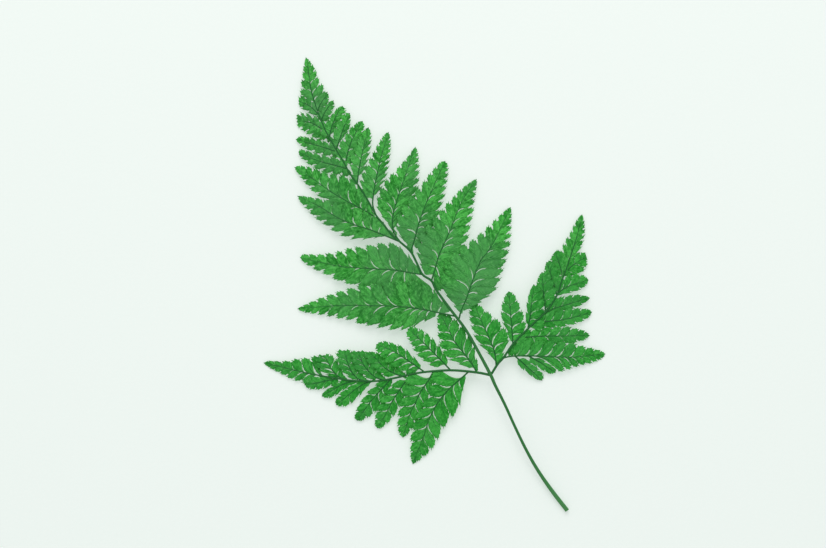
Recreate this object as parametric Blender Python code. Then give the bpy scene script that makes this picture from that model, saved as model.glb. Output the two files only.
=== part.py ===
"""A preserved leatherleaf fern frond, dyed green, that lies on a flat surface.

The frond grew as one piece, so it is one closed solid: a stalk and rachis, the ribs of its pinnae and
the leaflets cut to those ribs. It is drawn as it lies, in millimetres from the fork of the stalk, with
x to the right and y away, leaning to the left. It is then turned upright, so that its apex points
along +Y, and moved so that the middle of its box stands over the origin.
"""

import math

import bpy
import numpy as np

MM = 0.001

# The whole frond
LEAN = math.radians(30)
BOX_MIDDLE = (-7.865, 52.666)
LEAF_GREEN = (0.016, 0.25, 0.028, 1)
LEAF_ROUGHNESS = 0.45

# The stalk and the rachis: places and heights of the axis in mm, and its radius
STALK_SIDES = 6
RACHIS = [
    # x, y, height, radius
    (38.3, -67.9, 1.08, 1.08),
    (31.9, -59.7, 1.9, 1.05),
    (26.1, -51.6, 2.8, 0.92),
    (21.3, -44.0, 3.7, 0.83),
    (16.6, -35.3, 4.6, 0.75),
    (11.8, -25.3, 5.4, 0.70),
    (7.0, -14.8, 6.0, 0.72),
    (2.2, -5.2, 6.4, 0.78),
    (-0.2, 0.2, 6.6, 0.85),
    (-6.5, 12.0, 7.0, 0.76),
    (-12.5, 22.5, 7.3, 0.72),
    (-20.0, 32.5, 7.5, 0.68),
    (-27.0, 42.0, 7.6, 0.62),
    (-29.5, 46.8, 7.6, 0.60),
    (-34.0, 50.0, 7.5, 0.58),
    (-37.0, 56.0, 7.4, 0.57),
    (-40.0, 61.5, 7.3, 0.55),
    (-45.5, 66.5, 7.1, 0.52),
    (-49.5, 70.0, 6.9, 0.50),
    (-53.5, 75.0, 6.7, 0.48),
    (-57.5, 80.0, 6.4, 0.46),
    (-61.0, 86.5, 6.0, 0.44),
    (-65.0, 93.0, 5.6, 0.42),
    (-70.0, 100.0, 5.1, 0.40),
    (-73.0, 105.5, 4.7, 0.39),
    (-77.5, 113.0, 4.1, 0.37),
    (-82.5, 122.0, 3.4, 0.35),
    (-86.5, 132.0, 2.5, 0.33),
    (-88.0, 136.5, 2.1, 0.32),
]

# The blades: thickness at the edge and at the rib, and the width of the rib at its base and tip, in mm
BLADE_THICKNESS = 0.60
RIB_THICKNESS = 0.90
RIB_WIDTHS = (0.90, 0.36)
EDGES = ("front", "back")

# A bare start longer than this share of the rib has a point more
LONG_PETIOLE = 0.17

# The round stems of the two basal pinnae, and the share of the rib over which one runs into its blade
STEM_SIDES = 5
STEM_RINGS = 10
STEM_SINK = 0.06

# How leaflets fill a pinna. They stand closer towards its tip, and a longer one has more points.
CROWDING = 1.25
LEAFLET_LENGTHS = (3.0, 4.8, 8.4)
LEAFLET_ROWS = (
    # share of the length, then how far the near and far edges bulge towards the neighbours
    (),
    ((0.60, None, 0.42),),
    ((0.62, 0.40, 0.42),),
    ((0.42, 0.40, 0.40), (0.82, 0.30, 0.42)),
)

# Every pinna and spray. The rib runs from its parent to its tip. The edges run through the tips of
# the leaflets, on the side towards the apex (front) and towards the stalk (back), in mm.
# count: leaflets on each side. bare: share of the rib before the first leaflet, on each side.
# tip: height of the rib's end. arch: how far its middle is raised. twist: rise of the front side
# and fall of the back side for each mm away from the rib, which keeps neighbours clear.
# stem: radii of a round stem at its base and end in mm, and the share of the rib that it takes.
SPRAYS = {
    "apex": dict(
        parent="rachis",
        rib=[(-87.0, 133.0), (-88.5, 138.0), (-89.8, 143.0), (-90.5, 148.0), (-91.3, 153.0), (-92.3, 158.5)],
        front=[(-94.8, 143.5), (-94.2, 147.5), (-93.5, 152.0), (-93.0, 156.0)],
        back=[(-83.0, 143.0), (-85.3, 146.5), (-87.5, 152.0), (-89.8, 156.5)],
        count=(4, 6), bare=(0.18, 0.20), tip=0.3, arch=0.2, twist=0.0,
    ),
    "left_9": dict(
        parent="rachis",
        rib=[(-86.0, 130.5), (-90.5, 134.5), (-96.0, 135.5)],
        front=[(-89.5, 137.8), (-92.5, 139.0), (-95.2, 139.0)],
        back=[(-91.5, 131.0), (-95.3, 132.5)],
        count=(3, 2), bare=(0.25, 0.25), tip=1.0, arch=0.5, twist=0.20,
    ),
    "left_8": dict(
        parent="rachis",
        rib=[(-83.5, 125.0), (-89.0, 127.5), (-96.8, 126.3)],
        front=[(-87.0, 129.0), (-91.0, 130.5), (-95.8, 130.5)],
        back=[(-84.5, 119.0), (-90.5, 120.3), (-95.0, 123.0)],
        count=(4, 5), bare=(0.15, 0.12), tip=1.1, arch=0.5, twist=0.18,
    ),
    "left_7": dict(
        parent="rachis",
        rib=[(-77.5, 112.5), (-82.5, 114.5), (-90.0, 116.5), (-97.3, 117.3)],
        front=[(-81.5, 117.5), (-88.0, 118.3), (-93.0, 119.0), (-95.8, 118.8)],
        back=[(-82.0, 109.5), (-88.5, 111.5), (-94.5, 114.7)],
        count=(6, 5), bare=(0.12, 0.12), tip=1.2, arch=0.6, twist=0.18,
    ),
    "left_6": dict(
        parent="rachis",
        rib=[(-72.0, 104.0), (-79.0, 106.8), (-87.5, 109.2), (-96.3, 111.0)],
        front=[(-78.0, 111.0), (-85.0, 112.0), (-92.8, 112.8)],
        back=[(-77.0, 101.0), (-85.5, 103.0), (-94.3, 107.6)],
        count=(6, 6), bare=(0.12, 0.10), tip=1.3, arch=0.7, twist=0.16,
    ),
    "left_5": dict(
        parent="rachis",
        rib=[(-53.5, 75.0), (-59.0, 79.5), (-65.0, 83.0), (-72.5, 87.0), (-80.0, 91.5), (-89.0, 98.0),
             (-98.0, 103.5)],
        front=[(-62.5, 90.0), (-69.0, 96.0), (-77.5, 100.5), (-86.0, 103.2), (-94.5, 104.4)],
        back=[(-62.0, 75.5), (-70.0, 79.0), (-78.0, 83.0), (-85.0, 88.0), (-90.5, 93.3), (-95.5, 99.0)],
        count=(9, 9), bare=(0.14, 0.14), tip=1.4, arch=1.0, twist=0.13,
    ),
    "left_4": dict(
        parent="rachis",
        rib=[(-46.0, 66.6), (-52.5, 69.3), (-60.0, 72.3), (-70.0, 75.5), (-77.5, 79.0), (-86.0, 84.3),
             (-96.5, 89.2)],
        front=[(-55.5, 76.5), (-64.0, 81.0), (-72.5, 84.5), (-81.0, 86.5), (-88.0, 88.0), (-94.0, 89.2)],
        back=[(-58.5, 68.0), (-67.0, 66.8), (-74.0, 68.6), (-80.0, 72.5), (-87.5, 78.3), (-93.3, 83.7)],
        count=(10, 9), bare=(0.10, 0.14), tip=1.3, arch=1.2, twist=0.12,
    ),
    "left_3": dict(
        parent="rachis",
        rib=[(-34.0, 50.0), (-39.5, 50.8), (-47.5, 52.2), (-57.5, 52.8), (-67.5, 53.4), (-75.0, 54.0),
             (-85.0, 56.2), (-95.2, 58.4)],
        front=[(-43.0, 60.0), (-47.5, 66.0), (-55.0, 65.2), (-62.0, 63.8), (-69.0, 63.4), (-77.0, 60.6),
               (-86.5, 59.6), (-93.5, 60.1)],
        back=[(-37.5, 38.5), (-47.5, 38.0), (-59.0, 42.3), (-70.0, 44.8), (-78.0, 48.0), (-85.5, 51.3),
              (-92.5, 55.3)],
        count=(12, 10), bare=(0.10, 0.08), tip=1.1, arch=1.3, twist=0.12,
    ),
    "left_2": dict(
        parent="rachis",
        rib=[(-17.5, 29.2), (-26.0, 31.0), (-33.0, 32.5), (-42.5, 33.8), (-52.5, 34.5), (-62.5, 34.5),
             (-75.0, 34.6), (-86.0, 33.8), (-96.5, 32.8)],
        front=[(-30.5, 44.0), (-39.0, 46.0), (-49.0, 46.5), (-57.0, 45.5), (-65.0, 44.6), (-70.5, 42.6),
               (-76.5, 41.2), (-81.0, 39.5), (-88.5, 36.6), (-93.8, 34.4)],
        back=[(-34.0, 26.0), (-41.0, 22.8), (-47.5, 22.0), (-54.0, 23.0), (-61.5, 24.2), (-67.5, 26.3),
              (-76.0, 28.3), (-86.0, 30.0), (-93.0, 31.0)],
        count=(13, 13), bare=(0.12, 0.14), tip=0.9, arch=1.4, twist=0.12,
    ),
    "left_1": dict(
        parent="rachis",
        rib=[(-0.6, 0.0), (-7.5, 1.3), (-20.0, 2.3), (-33.0, 1.4), (-40.0, 0.2), (-46.0, -1.2), (-54.0, -2.8),
             (-60.0, -3.2), (-70.0, -2.8), (-80.0, -1.3), (-87.5, 0.0), (-95.0, 1.5), (-105.0, 4.0),
             (-113.5, 5.8)],
        front=[(-79.5, 9.3), (-86.5, 8.9), (-92.0, 8.0), (-98.0, 6.8), (-104.0, 6.2), (-111.0, 6.6)],
        back=[(-95.0, -3.4), (-97.5, -3.2), (-102.0, -0.6), (-106.5, 1.5), (-110.5, 3.4)],
        count=(8, 6), bare=(0.60, 0.76), tip=0.31, arch=1.0, twist=0.08, stem=(0.66, 0.40, 0.72),
    ),
    "left_1_up_1": dict(
        parent="left_1",
        rib=[(-7.0, 1.4), (-9.8, 6.0), (-14.0, 11.5), (-18.0, 16.5), (-21.2, 23.0), (-25.5, 31.0)],
        front=[(-16.5, 5.3), (-22.3, 8.0), (-24.8, 13.5), (-26.0, 21.5), (-26.7, 28.5)],
        back=[(-9.3, 9.5), (-9.8, 15.0), (-13.0, 21.0), (-17.2, 25.5), (-22.5, 29.7)],
        count=(9, 8), bare=(0.14, 0.18), tip=5.6, arch=0.8, twist=0.08,
    ),
    "left_1_up_2": dict(
        parent="left_1",
        rib=[(-20.0, 2.3), (-24.0, 6.5), (-28.0, 10.5), (-32.5, 15.0), (-36.5, 18.7), (-41.5, 23.0)],
        front=[(-32.5, 3.4), (-36.2, 8.5), (-38.8, 13.5), (-41.5, 18.5)],
        back=[(-24.0, 11.5), (-26.7, 15.5), (-30.0, 19.0), (-34.0, 22.0), (-38.5, 24.2)],
        count=(8, 7), bare=(0.20, 0.22), tip=6.4, arch=0.8, twist=0.10,
    ),
    "left_1_up_3": dict(
        parent="left_1",
        rib=[(-33.0, 1.4), (-38.5, 5.3), (-44.0, 9.0), (-49.0, 12.0), (-57.0, 15.3)],
        front=[(-43.5, 1.6), (-49.0, 4.2), (-53.8, 8.3), (-57.3, 12.6)],
        back=[(-38.8, 9.3), (-41.5, 12.2), (-44.8, 14.6), (-48.5, 15.7), (-54.0, 16.8)],
        count=(7, 6), bare=(0.16, 0.20), tip=6.0, arch=0.7, twist=0.12,
    ),
    "left_1_up_4": dict(
        parent="left_1",
        rib=[(-43.5, -0.7), (-49.5, 2.2), (-54.5, 6.2), (-59.3, 11.4)],
        front=[(-54.5, 1.2), (-59.5, 5.8), (-61.4, 9.8)],
        back=[(-49.3, 6.2), (-53.0, 9.8), (-57.0, 11.8)],
        count=(4, 4), bare=(0.18, 0.22), tip=5.0, arch=0.4, twist=0.14,
    ),
    "left_1_up_5": dict(
        parent="left_1",
        rib=[(-53.0, -2.7), (-58.0, 0.6), (-62.0, 5.5), (-66.0, 11.4)],
        front=[(-62.0, 1.2), (-66.5, 5.6), (-68.4, 9.8)],
        back=[(-57.5, 4.6), (-60.3, 8.6), (-63.6, 11.6)],
        count=(4, 4), bare=(0.18, 0.22), tip=4.4, arch=0.3, twist=0.14,
    ),
    "left_1_up_6": dict(
        parent="left_1",
        rib=[(-64.5, -3.1), (-67.2, 0.6), (-69.7, 6.0), (-72.6, 12.2)],
        front=[(-71.8, 2.0), (-75.3, 7.2), (-76.6, 11.6)],
        back=[(-65.6, 3.0), (-66.6, 7.4), (-69.2, 11.8)],
        count=(4, 4), bare=(0.18, 0.20), tip=3.8, arch=0.3, twist=0.14,
    ),
    "left_1_down_1": dict(
        parent="left_1",
        rib=[(-11.0, 1.6), (-14.5, -1.5), (-20.5, -6.8), (-25.0, -12.0), (-28.5, -17.5), (-31.0, -23.0),
             (-33.0, -29.5), (-35.5, -36.0), (-38.8, -44.8)],
        front=[(-29.5, -3.8), (-31.0, -11.0), (-35.0, -17.0), (-38.5, -23.5), (-39.5, -32.0), (-39.9, -38.0),
               (-39.6, -42.5)],
        back=[(-14.2, -9.0), (-15.2, -15.5), (-19.0, -20.6), (-23.5, -25.7), (-26.2, -31.5), (-30.0, -37.6),
              (-33.5, -41.2), (-36.8, -43.6)],
        count=(10, 10), bare=(0.10, 0.12), tip=0.4, arch=0.6, twist=0.08,
    ),
    "left_1_down_2": dict(
        parent="left_1",
        rib=[(-28.5, 1.8), (-31.5, -3.5), (-35.0, -8.5), (-37.5, -14.0), (-40.0, -19.0), (-42.0, -25.0),
             (-43.8, -31.5)],
        front=[(-42.5, -5.0), (-43.6, -10.5), (-45.2, -15.0), (-46.0, -20.0), (-46.5, -25.5), (-45.6, -29.4)],
        back=[(-31.5, -11.0), (-33.5, -16.0), (-36.5, -20.7), (-39.2, -26.0), (-41.8, -30.0)],
        count=(8, 7), bare=(0.14, 0.16), tip=0.9, arch=0.5, twist=0.10,
    ),
    "left_1_down_3": dict(
        parent="left_1",
        rib=[(-40.0, 0.2), (-43.0, -4.0), (-46.0, -8.5), (-49.5, -14.0), (-52.5, -20.0), (-56.6, -26.8)],
        front=[(-50.0, -6.4), (-54.3, -11.0), (-56.3, -15.6), (-57.4, -20.6), (-57.8, -25.2)],
        back=[(-43.5, -11.5), (-46.5, -16.8), (-49.8, -21.5), (-52.4, -24.7), (-54.8, -26.8)],
        count=(7, 6), bare=(0.14, 0.18), tip=1.0, arch=0.5, twist=0.12,
    ),
    "left_1_down_4": dict(
        parent="left_1",
        rib=[(-50.0, -2.2), (-53.3, -6.0), (-57.5, -10.5), (-61.5, -15.5), (-66.7, -23.0)],
        front=[(-59.8, -7.0), (-63.2, -10.2), (-65.6, -14.2), (-67.3, -18.2), (-67.9, -21.8)],
        back=[(-52.8, -12.8), (-55.8, -17.0), (-59.3, -19.4), (-62.2, -21.4), (-64.8, -23.2)],
        count=(7, 6), bare=(0.14, 0.18), tip=1.0, arch=0.4, twist=0.13,
    ),
    "left_1_down_5": dict(
        parent="left_1",
        rib=[(-59.0, -3.2), (-65.0, -6.4), (-70.5, -10.0), (-76.8, -15.2)],
        front=[(-71.5, -7.0), (-75.0, -9.8), (-77.6, -13.6)],
        back=[(-64.8, -10.5), (-68.8, -13.4), (-73.5, -15.7)],
        count=(5, 5), bare=(0.14, 0.16), tip=1.0, arch=0.3, twist=0.13,
    ),
    "left_1_down_6": dict(
        parent="left_1",
        rib=[(-68.5, -3.0), (-74.5, -5.4), (-79.5, -8.0), (-84.3, -10.9)],
        front=[(-78.6, -4.6), (-82.0, -7.4), (-84.7, -9.6)],
        back=[(-73.0, -8.2), (-77.0, -11.0), (-81.5, -11.8)],
        count=(4, 4), bare=(0.14, 0.16), tip=1.0, arch=0.3, twist=0.13,
    ),
    "left_1_down_7": dict(
        parent="left_1",
        rib=[(-77.5, -1.8), (-84.0, -3.2), (-92.9, -5.0)],
        front=[(-86.5, -1.0), (-92.0, -2.8)],
        back=[(-82.5, -6.3), (-87.0, -7.6), (-91.5, -6.7)],
        count=(2, 3), bare=(0.16, 0.12), tip=1.0, arch=0.3, twist=0.12,
    ),
    "right_12": dict(
        parent="rachis",
        rib=[(-86.5, 131.5), (-84.5, 136.0), (-81.0, 140.3)],
        front=[(-86.0, 136.5), (-83.2, 139.9)],
        back=[(-82.2, 133.8), (-80.7, 137.8)],
        count=(2, 2), bare=(0.24, 0.24), tip=1.6, arch=0.3, twist=0.20,
    ),
    "right_11": dict(
        parent="rachis",
        rib=[(-84.5, 127.0), (-82.5, 131.5), (-78.5, 137.0)],
        front=[(-85.0, 131.6), (-81.6, 135.6)],
        back=[(-80.0, 129.2), (-77.8, 134.4)],
        count=(3, 3), bare=(0.18, 0.20), tip=1.7, arch=0.4, twist=0.20,
    ),
    "right_10": dict(
        parent="rachis",
        rib=[(-80.5, 118.3), (-79.5, 123.0), (-77.5, 128.5), (-74.0, 134.2)],
        front=[(-83.0, 123.5), (-80.3, 128.0), (-76.8, 133.0)],
        back=[(-76.0, 124.0), (-73.2, 128.6), (-72.0, 132.3)],
        count=(4, 4), bare=(0.16, 0.18), tip=1.8, arch=0.4, twist=0.19,
    ),
    "right_9": dict(
        parent="rachis",
        rib=[(-77.0, 112.3), (-75.5, 117.0), (-73.5, 123.0), (-70.3, 130.6)],
        front=[(-79.0, 118.5), (-77.0, 125.0), (-73.0, 130.5)],
        back=[(-72.5, 119.5), (-70.5, 122.0), (-69.8, 127.5)],
        count=(4, 5), bare=(0.16, 0.16), tip=1.8, arch=0.5, twist=0.18,
    ),
    "right_8": dict(
        parent="rachis",
        rib=[(-72.5, 105.0), (-71.0, 112.0), (-68.5, 118.5), (-64.0, 126.7)],
        front=[(-76.0, 113.5), (-73.2, 118.0), (-70.3, 123.0), (-66.6, 125.9)],
        back=[(-67.0, 109.5), (-64.5, 115.5), (-63.5, 120.5), (-62.9, 124.4)],
        count=(5, 5), bare=(0.16, 0.14), tip=1.9, arch=0.5, twist=0.17,
    ),
    "right_7": dict(
        parent="rachis",
        rib=[(-66.5, 95.5), (-65.8, 102.0), (-64.5, 108.5), (-63.0, 115.5), (-61.0, 123.5)],
        front=[(-70.0, 104.0), (-68.6, 111.0), (-66.0, 117.5), (-62.8, 122.3)],
        back=[(-62.0, 104.5), (-60.4, 109.5), (-59.6, 114.5), (-59.3, 119.5)],
        count=(6, 6), bare=(0.18, 0.18), tip=1.9, arch=0.6, twist=0.16,
    ),
    "right_6": dict(
        parent="rachis",
        rib=[(-57.2, 79.5), (-58.8, 84.5), (-58.5, 89.5), (-57.5, 96.0), (-56.0, 103.0), (-54.5, 109.5),
             (-51.0, 121.2)],
        front=[(-65.0, 93.5), (-65.4, 98.8), (-61.6, 105.5), (-58.6, 110.6), (-56.0, 115.5), (-53.6, 119.4)],
        back=[(-53.8, 94.6), (-52.0, 98.6), (-51.0, 103.0), (-50.2, 107.5), (-49.8, 112.5), (-49.8, 117.5)],
        count=(9, 9), bare=(0.20, 0.24), tip=1.4, arch=0.9, twist=0.15,
    ),
    "right_5": dict(
        parent="rachis",
        rib=[(-45.3, 66.4), (-48.6, 71.5), (-49.0, 77.0), (-47.8, 83.5), (-45.5, 91.0), (-43.0, 98.0),
             (-40.5, 105.5), (-37.5, 113.7)],
        front=[(-54.0, 81.0), (-56.4, 87.0), (-54.2, 92.0), (-52.2, 97.6), (-48.3, 100.2), (-45.3, 104.2),
               (-40.6, 109.2), (-39.2, 112.2)],
        back=[(-43.5, 79.5), (-39.0, 84.5), (-36.6, 89.5), (-36.0, 95.0), (-35.6, 101.0), (-35.7, 107.0),
              (-36.2, 111.0)],
        count=(10, 10), bare=(0.20, 0.22), tip=1.3, arch=1.0, twist=0.14,
    ),
    "right_4": dict(
        parent="rachis",
        rib=[(-39.9, 61.4), (-38.0, 67.5), (-36.0, 75.0), (-33.0, 83.5), (-30.0, 90.5), (-26.5, 98.5),
             (-22.7, 106.7)],
        front=[(-45.0, 69.0), (-47.5, 74.0), (-46.6, 79.3), (-43.2, 84.3), (-39.0, 89.7), (-34.4, 95.0),
               (-29.8, 100.8), (-25.2, 106.0)],
        back=[(-33.0, 65.8), (-28.6, 71.0), (-26.1, 77.0), (-24.6, 84.0), (-22.5, 90.7), (-21.6, 97.0),
              (-20.8, 103.5)],
        count=(11, 11), bare=(0.12, 0.12), tip=1.2, arch=1.2, twist=0.13,
    ),
    "right_3": dict(
        parent="rachis",
        rib=[(-29.5, 47.0), (-28.0, 52.0), (-26.0, 59.0), (-23.0, 66.0), (-20.0, 72.5), (-17.0, 80.5),
             (-13.5, 88.0), (-7.0, 97.7)],
        front=[(-35.5, 56.5), (-37.4, 62.0), (-36.8, 67.2), (-33.0, 72.8), (-28.4, 78.0), (-23.0, 83.7),
               (-19.5, 87.7), (-15.0, 92.4), (-10.0, 96.2)],
        back=[(-21.5, 45.5), (-17.0, 51.5), (-14.0, 58.5), (-12.3, 65.0), (-10.5, 71.5), (-9.8, 76.5),
              (-8.5, 82.0), (-8.0, 87.5), (-6.8, 94.0)],
        count=(12, 12), bare=(0.10, 0.12), tip=1.1, arch=1.4, twist=0.12,
    ),
    "right_2": dict(
        parent="rachis",
        rib=[(-15.8, 28.0), (-14.8, 32.0), (-12.0, 38.5), (-8.5, 48.5), (-5.0, 57.0), (-1.0, 62.0), (2.5, 68.0),
             (5.5, 74.5), (10.0, 83.7)],
        front=[(-22.5, 41.0), (-26.2, 46.5), (-24.5, 54.0), (-20.0, 59.5), (-15.5, 63.5), (-12.0, 65.3),
               (-6.5, 68.5), (-1.0, 74.2), (5.0, 79.8), (8.0, 82.5)],
        back=[(-7.5, 37.0), (-1.0, 40.2), (2.3, 43.6), (4.7, 49.5), (6.2, 55.5), (8.7, 62.0), (9.6, 68.0),
              (9.9, 74.5), (10.4, 80.5)],
        count=(12, 13), bare=(0.14, 0.14), tip=1.0, arch=1.3, twist=0.11,
    ),
    "right_1": dict(
        parent="rachis",
        rib=[(0.4, 0.6), (3.5, 5.5), (6.5, 8.8), (11.0, 15.3), (18.5, 23.0), (27.5, 31.5), (33.0, 39.5),
             (35.5, 47.0), (38.5, 55.0), (41.0, 62.5), (43.3, 70.0), (45.8, 80.0)],
        front=[(35.0, 62.5), (36.8, 66.2), (39.0, 69.3), (40.5, 72.3), (42.5, 76.7), (44.4, 79.0)],
        back=[(44.5, 61.5), (46.4, 66.0), (47.3, 71.0), (46.9, 77.0)],
        count=(7, 7), bare=(0.62, 0.64), tip=0.9, arch=1.0, twist=0.10, stem=(0.62, 0.38, 0.72),
    ),
    "right_1_up_1": dict(
        parent="right_1",
        rib=[(2.7, 4.6), (2.0, 11.0), (0.0, 16.5), (-2.2, 21.5), (-5.2, 28.0), (-8.5, 35.7)],
        front=[(6.0, 12.0), (8.7, 18.5), (5.2, 23.5), (1.7, 27.3), (-2.8, 31.6), (-6.0, 34.8)],
        back=[(-2.2, 11.8), (-6.2, 16.0), (-8.7, 21.5), (-10.3, 27.5), (-10.6, 32.5)],
        count=(8, 8), bare=(0.20, 0.20), tip=4.6, arch=0.6, twist=0.05,
    ),
    "right_1_up_2": dict(
        parent="right_1",
        rib=[(11.0, 15.2), (10.8, 19.5), (10.3, 25.5), (9.8, 31.0), (9.0, 41.6)],
        front=[(17.0, 21.5), (17.8, 25.6), (15.8, 30.0), (14.2, 34.0), (12.6, 37.6), (11.2, 40.6)],
        back=[(8.3, 21.5), (5.9, 26.5), (5.4, 31.0), (5.7, 35.5), (7.4, 39.8)],
        count=(7, 7), bare=(0.20, 0.22), tip=4.2, arch=0.6, twist=0.06,
    ),
    "right_1_up_3": dict(
        parent="right_1",
        rib=[(18.5, 23.0), (19.5, 28.5), (20.3, 35.5), (21.5, 45.2)],
        front=[(26.0, 28.0), (26.5, 35.0), (25.2, 42.0)],
        back=[(17.7, 31.5), (18.3, 38.0), (20.2, 43.3)],
        count=(5, 4), bare=(0.16, 0.18), tip=4.9, arch=0.4, twist=0.12,
    ),
    "right_1_up_4": dict(
        parent="right_1",
        rib=[(27.5, 31.5), (26.6, 38.0), (26.0, 44.5), (25.5, 51.2)],
        front=[(32.5, 40.0), (31.6, 46.5), (28.6, 50.8)],
        back=[(22.5, 40.5), (22.6, 44.5), (23.8, 48.6)],
        count=(4, 4), bare=(0.16, 0.18), tip=4.0, arch=0.4, twist=0.14,
    ),
    "right_1_up_5": dict(
        parent="right_1",
        rib=[(33.0, 39.5), (31.2, 46.0), (29.5, 51.5), (27.8, 56.2)],
        front=[(34.4, 47.5), (33.2, 53.0), (30.4, 57.0)],
        back=[(27.4, 46.0), (26.4, 50.5), (27.2, 54.4)],
        count=(4, 4), bare=(0.18, 0.20), tip=3.6, arch=0.3, twist=0.14,
    ),
    "right_1_up_6": dict(
        parent="right_1",
        rib=[(36.0, 48.4), (34.6, 54.5), (32.0, 61.2)],
        front=[(37.4, 55.5), (36.0, 60.0), (33.4, 62.4)],
        back=[(30.6, 53.5), (29.6, 57.0), (30.8, 59.8)],
        count=(3, 3), bare=(0.20, 0.20), tip=3.0, arch=0.3, twist=0.14,
    ),
    "right_1_side_1": dict(
        parent="right_1",
        rib=[(6.2, 8.4), (10.5, 9.3), (20.0, 9.5), (30.0, 9.0), (40.0, 8.8), (49.0, 9.5), (57.4, 10.3)],
        front=[(21.5, 16.3), (30.5, 15.7), (37.0, 15.5), (41.5, 15.0), (45.5, 13.7), (51.0, 12.7), (55.0, 11.9)],
        back=[(37.5, 2.6), (42.5, 4.2), (46.5, 5.2), (52.0, 6.2), (55.6, 7.8)],
        count=(9, 7), bare=(0.26, 0.44), tip=0.31, arch=0.8, twist=0.10,
    ),
    "right_1_side_1a": dict(
        parent="right_1_side_1",
        rib=[(12.0, 9.4), (17.5, 4.6), (25.8, -3.0)],
        front=[(20.6, 5.4), (23.8, 2.7), (26.6, -0.2)],
        back=[(16.9, 2.2), (20.3, -0.6), (23.7, -2.7)],
        count=(4, 4), bare=(0.20, 0.22), tip=0.9, arch=0.4, twist=0.10,
    ),
    "right_1_side_1b": dict(
        parent="right_1_side_1",
        rib=[(18.5, 9.5), (25.0, 6.0), (32.4, 0.9)],
        front=[(27.5, 6.5), (31.0, 4.0), (32.8, 2.2)],
        back=[(23.3, 4.0), (26.7, 1.7), (30.4, 0.3)],
        count=(3, 3), bare=(0.24, 0.24), tip=1.2, arch=0.3, twist=0.10,
    ),
    "right_1_side_2": dict(
        parent="right_1",
        rib=[(13.5, 18.0), (20.0, 19.0), (27.5, 19.3), (36.0, 19.3), (43.5, 19.5), (49.6, 19.5)],
        front=[(20.5, 22.3), (28.0, 23.6), (36.0, 23.8), (42.0, 23.2), (47.2, 21.7)],
        back=[(16.0, 12.4), (21.0, 15.0), (28.0, 15.5), (35.0, 15.7), (42.5, 16.6), (47.8, 17.9)],
        count=(8, 8), bare=(0.14, 0.10), tip=1.0, arch=0.5, twist=0.12,
    ),
    "right_1_side_3": dict(
        parent="right_1",
        rib=[(21.5, 25.8), (29.5, 26.8), (36.5, 27.5), (43.5, 29.2), (50.7, 31.3)],
        front=[(28.0, 31.0), (35.0, 32.3), (41.5, 33.0), (48.0, 32.8)],
        back=[(27.5, 23.4), (34.0, 23.9), (40.0, 24.8), (45.5, 26.5), (49.5, 29.0)],
        count=(6, 7), bare=(0.16, 0.16), tip=1.3, arch=0.5, twist=0.13,
    ),
    "right_1_side_4": dict(
        parent="right_1",
        rib=[(27.5, 31.5), (33.5, 34.0), (40.0, 35.6), (49.6, 38.3)],
        front=[(32.5, 37.8), (38.0, 39.2), (43.5, 39.8), (48.0, 39.2)],
        back=[(33.0, 30.6), (39.0, 32.5), (45.0, 34.9), (48.6, 37.0)],
        count=(6, 5), bare=(0.16, 0.18), tip=1.4, arch=0.4, twist=0.14,
    ),
    "right_1_side_5": dict(
        parent="right_1",
        rib=[(33.2, 40.0), (39.0, 44.5), (48.9, 47.3)],
        front=[(39.0, 49.0), (44.0, 49.8), (48.4, 48.4)],
        back=[(37.5, 41.0), (42.5, 42.0), (47.2, 44.6)],
        count=(4, 4), bare=(0.18, 0.18), tip=1.4, arch=0.4, twist=0.14,
    ),
    "right_1_side_6": dict(
        parent="right_1",
        rib=[(37.0, 51.0), (41.5, 55.0), (47.9, 58.8)],
        front=[(41.5, 59.4), (45.5, 61.0), (47.6, 60.6)],
        back=[(42.0, 51.0), (46.5, 51.0), (48.0, 56.0)],
        count=(3, 4), bare=(0.18, 0.18), tip=1.3, arch=0.4, twist=0.14,
    ),
}


def smooth_line(points, steps=12):
    """A dense line along a Catmull-Rom curve through the points."""
    points = np.array(points, float)
    padded = np.vstack([2 * points[0] - points[1], points, 2 * points[-1] - points[-2]])
    line = []
    for before, start, end, after in zip(padded, padded[1:], padded[2:], padded[3:]):
        for t in np.arange(steps) / steps:
            line.append(
                0.5
                * (
                    2 * start
                    + (end - before) * t
                    + (2 * before - 5 * start + 4 * end - after) * t**2
                    + (3 * start - before - 3 * end + after) * t**3
                )
            )
    line.append(points[-1])
    return np.array(line)


def shares_of(line):
    """The share of the line's length at each of its points."""
    lengths = np.concatenate([[0], np.cumsum(np.linalg.norm(np.diff(line[:, :2], axis=0), axis=1))])
    return lengths / lengths[-1]


def point_at(line, share):
    shares = shares_of(line)
    return np.array([np.interp(share, shares, column) for column in line.T])


def direction_at(line, share):
    step = 0.02
    along = point_at(line, min(share + step, 1)) - point_at(line, max(share - step, 0))
    return along[:2] / np.linalg.norm(along[:2])


def height_near(line, place):
    """The height of the line's nearest point to a place."""
    gaps = np.linalg.norm(line[:, :2] - np.array(place), axis=1)
    return line[gaps.argmin(), 2]


def rib_line(spray, parent_line):
    """The rib as x, y and height, from its parent to its tip."""
    flat = smooth_line(spray["rib"])
    share = shares_of(flat)
    base_height = height_near(parent_line, spray["rib"][0])
    heights = base_height + (spray["tip"] - base_height) * share + spray["arch"] * 4 * share * (1 - share)
    return np.column_stack([flat, heights])


def side_sign(line, edge, share):
    """1 where the edge lies to the left of the rib at this share as it runs out, -1 where to the right."""
    along = direction_at(line, share)
    across = point_at(edge, 0.5) - point_at(line, share)[:2]
    return 1 if along[0] * across[1] - along[1] * across[0] > 0 else -1


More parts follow.
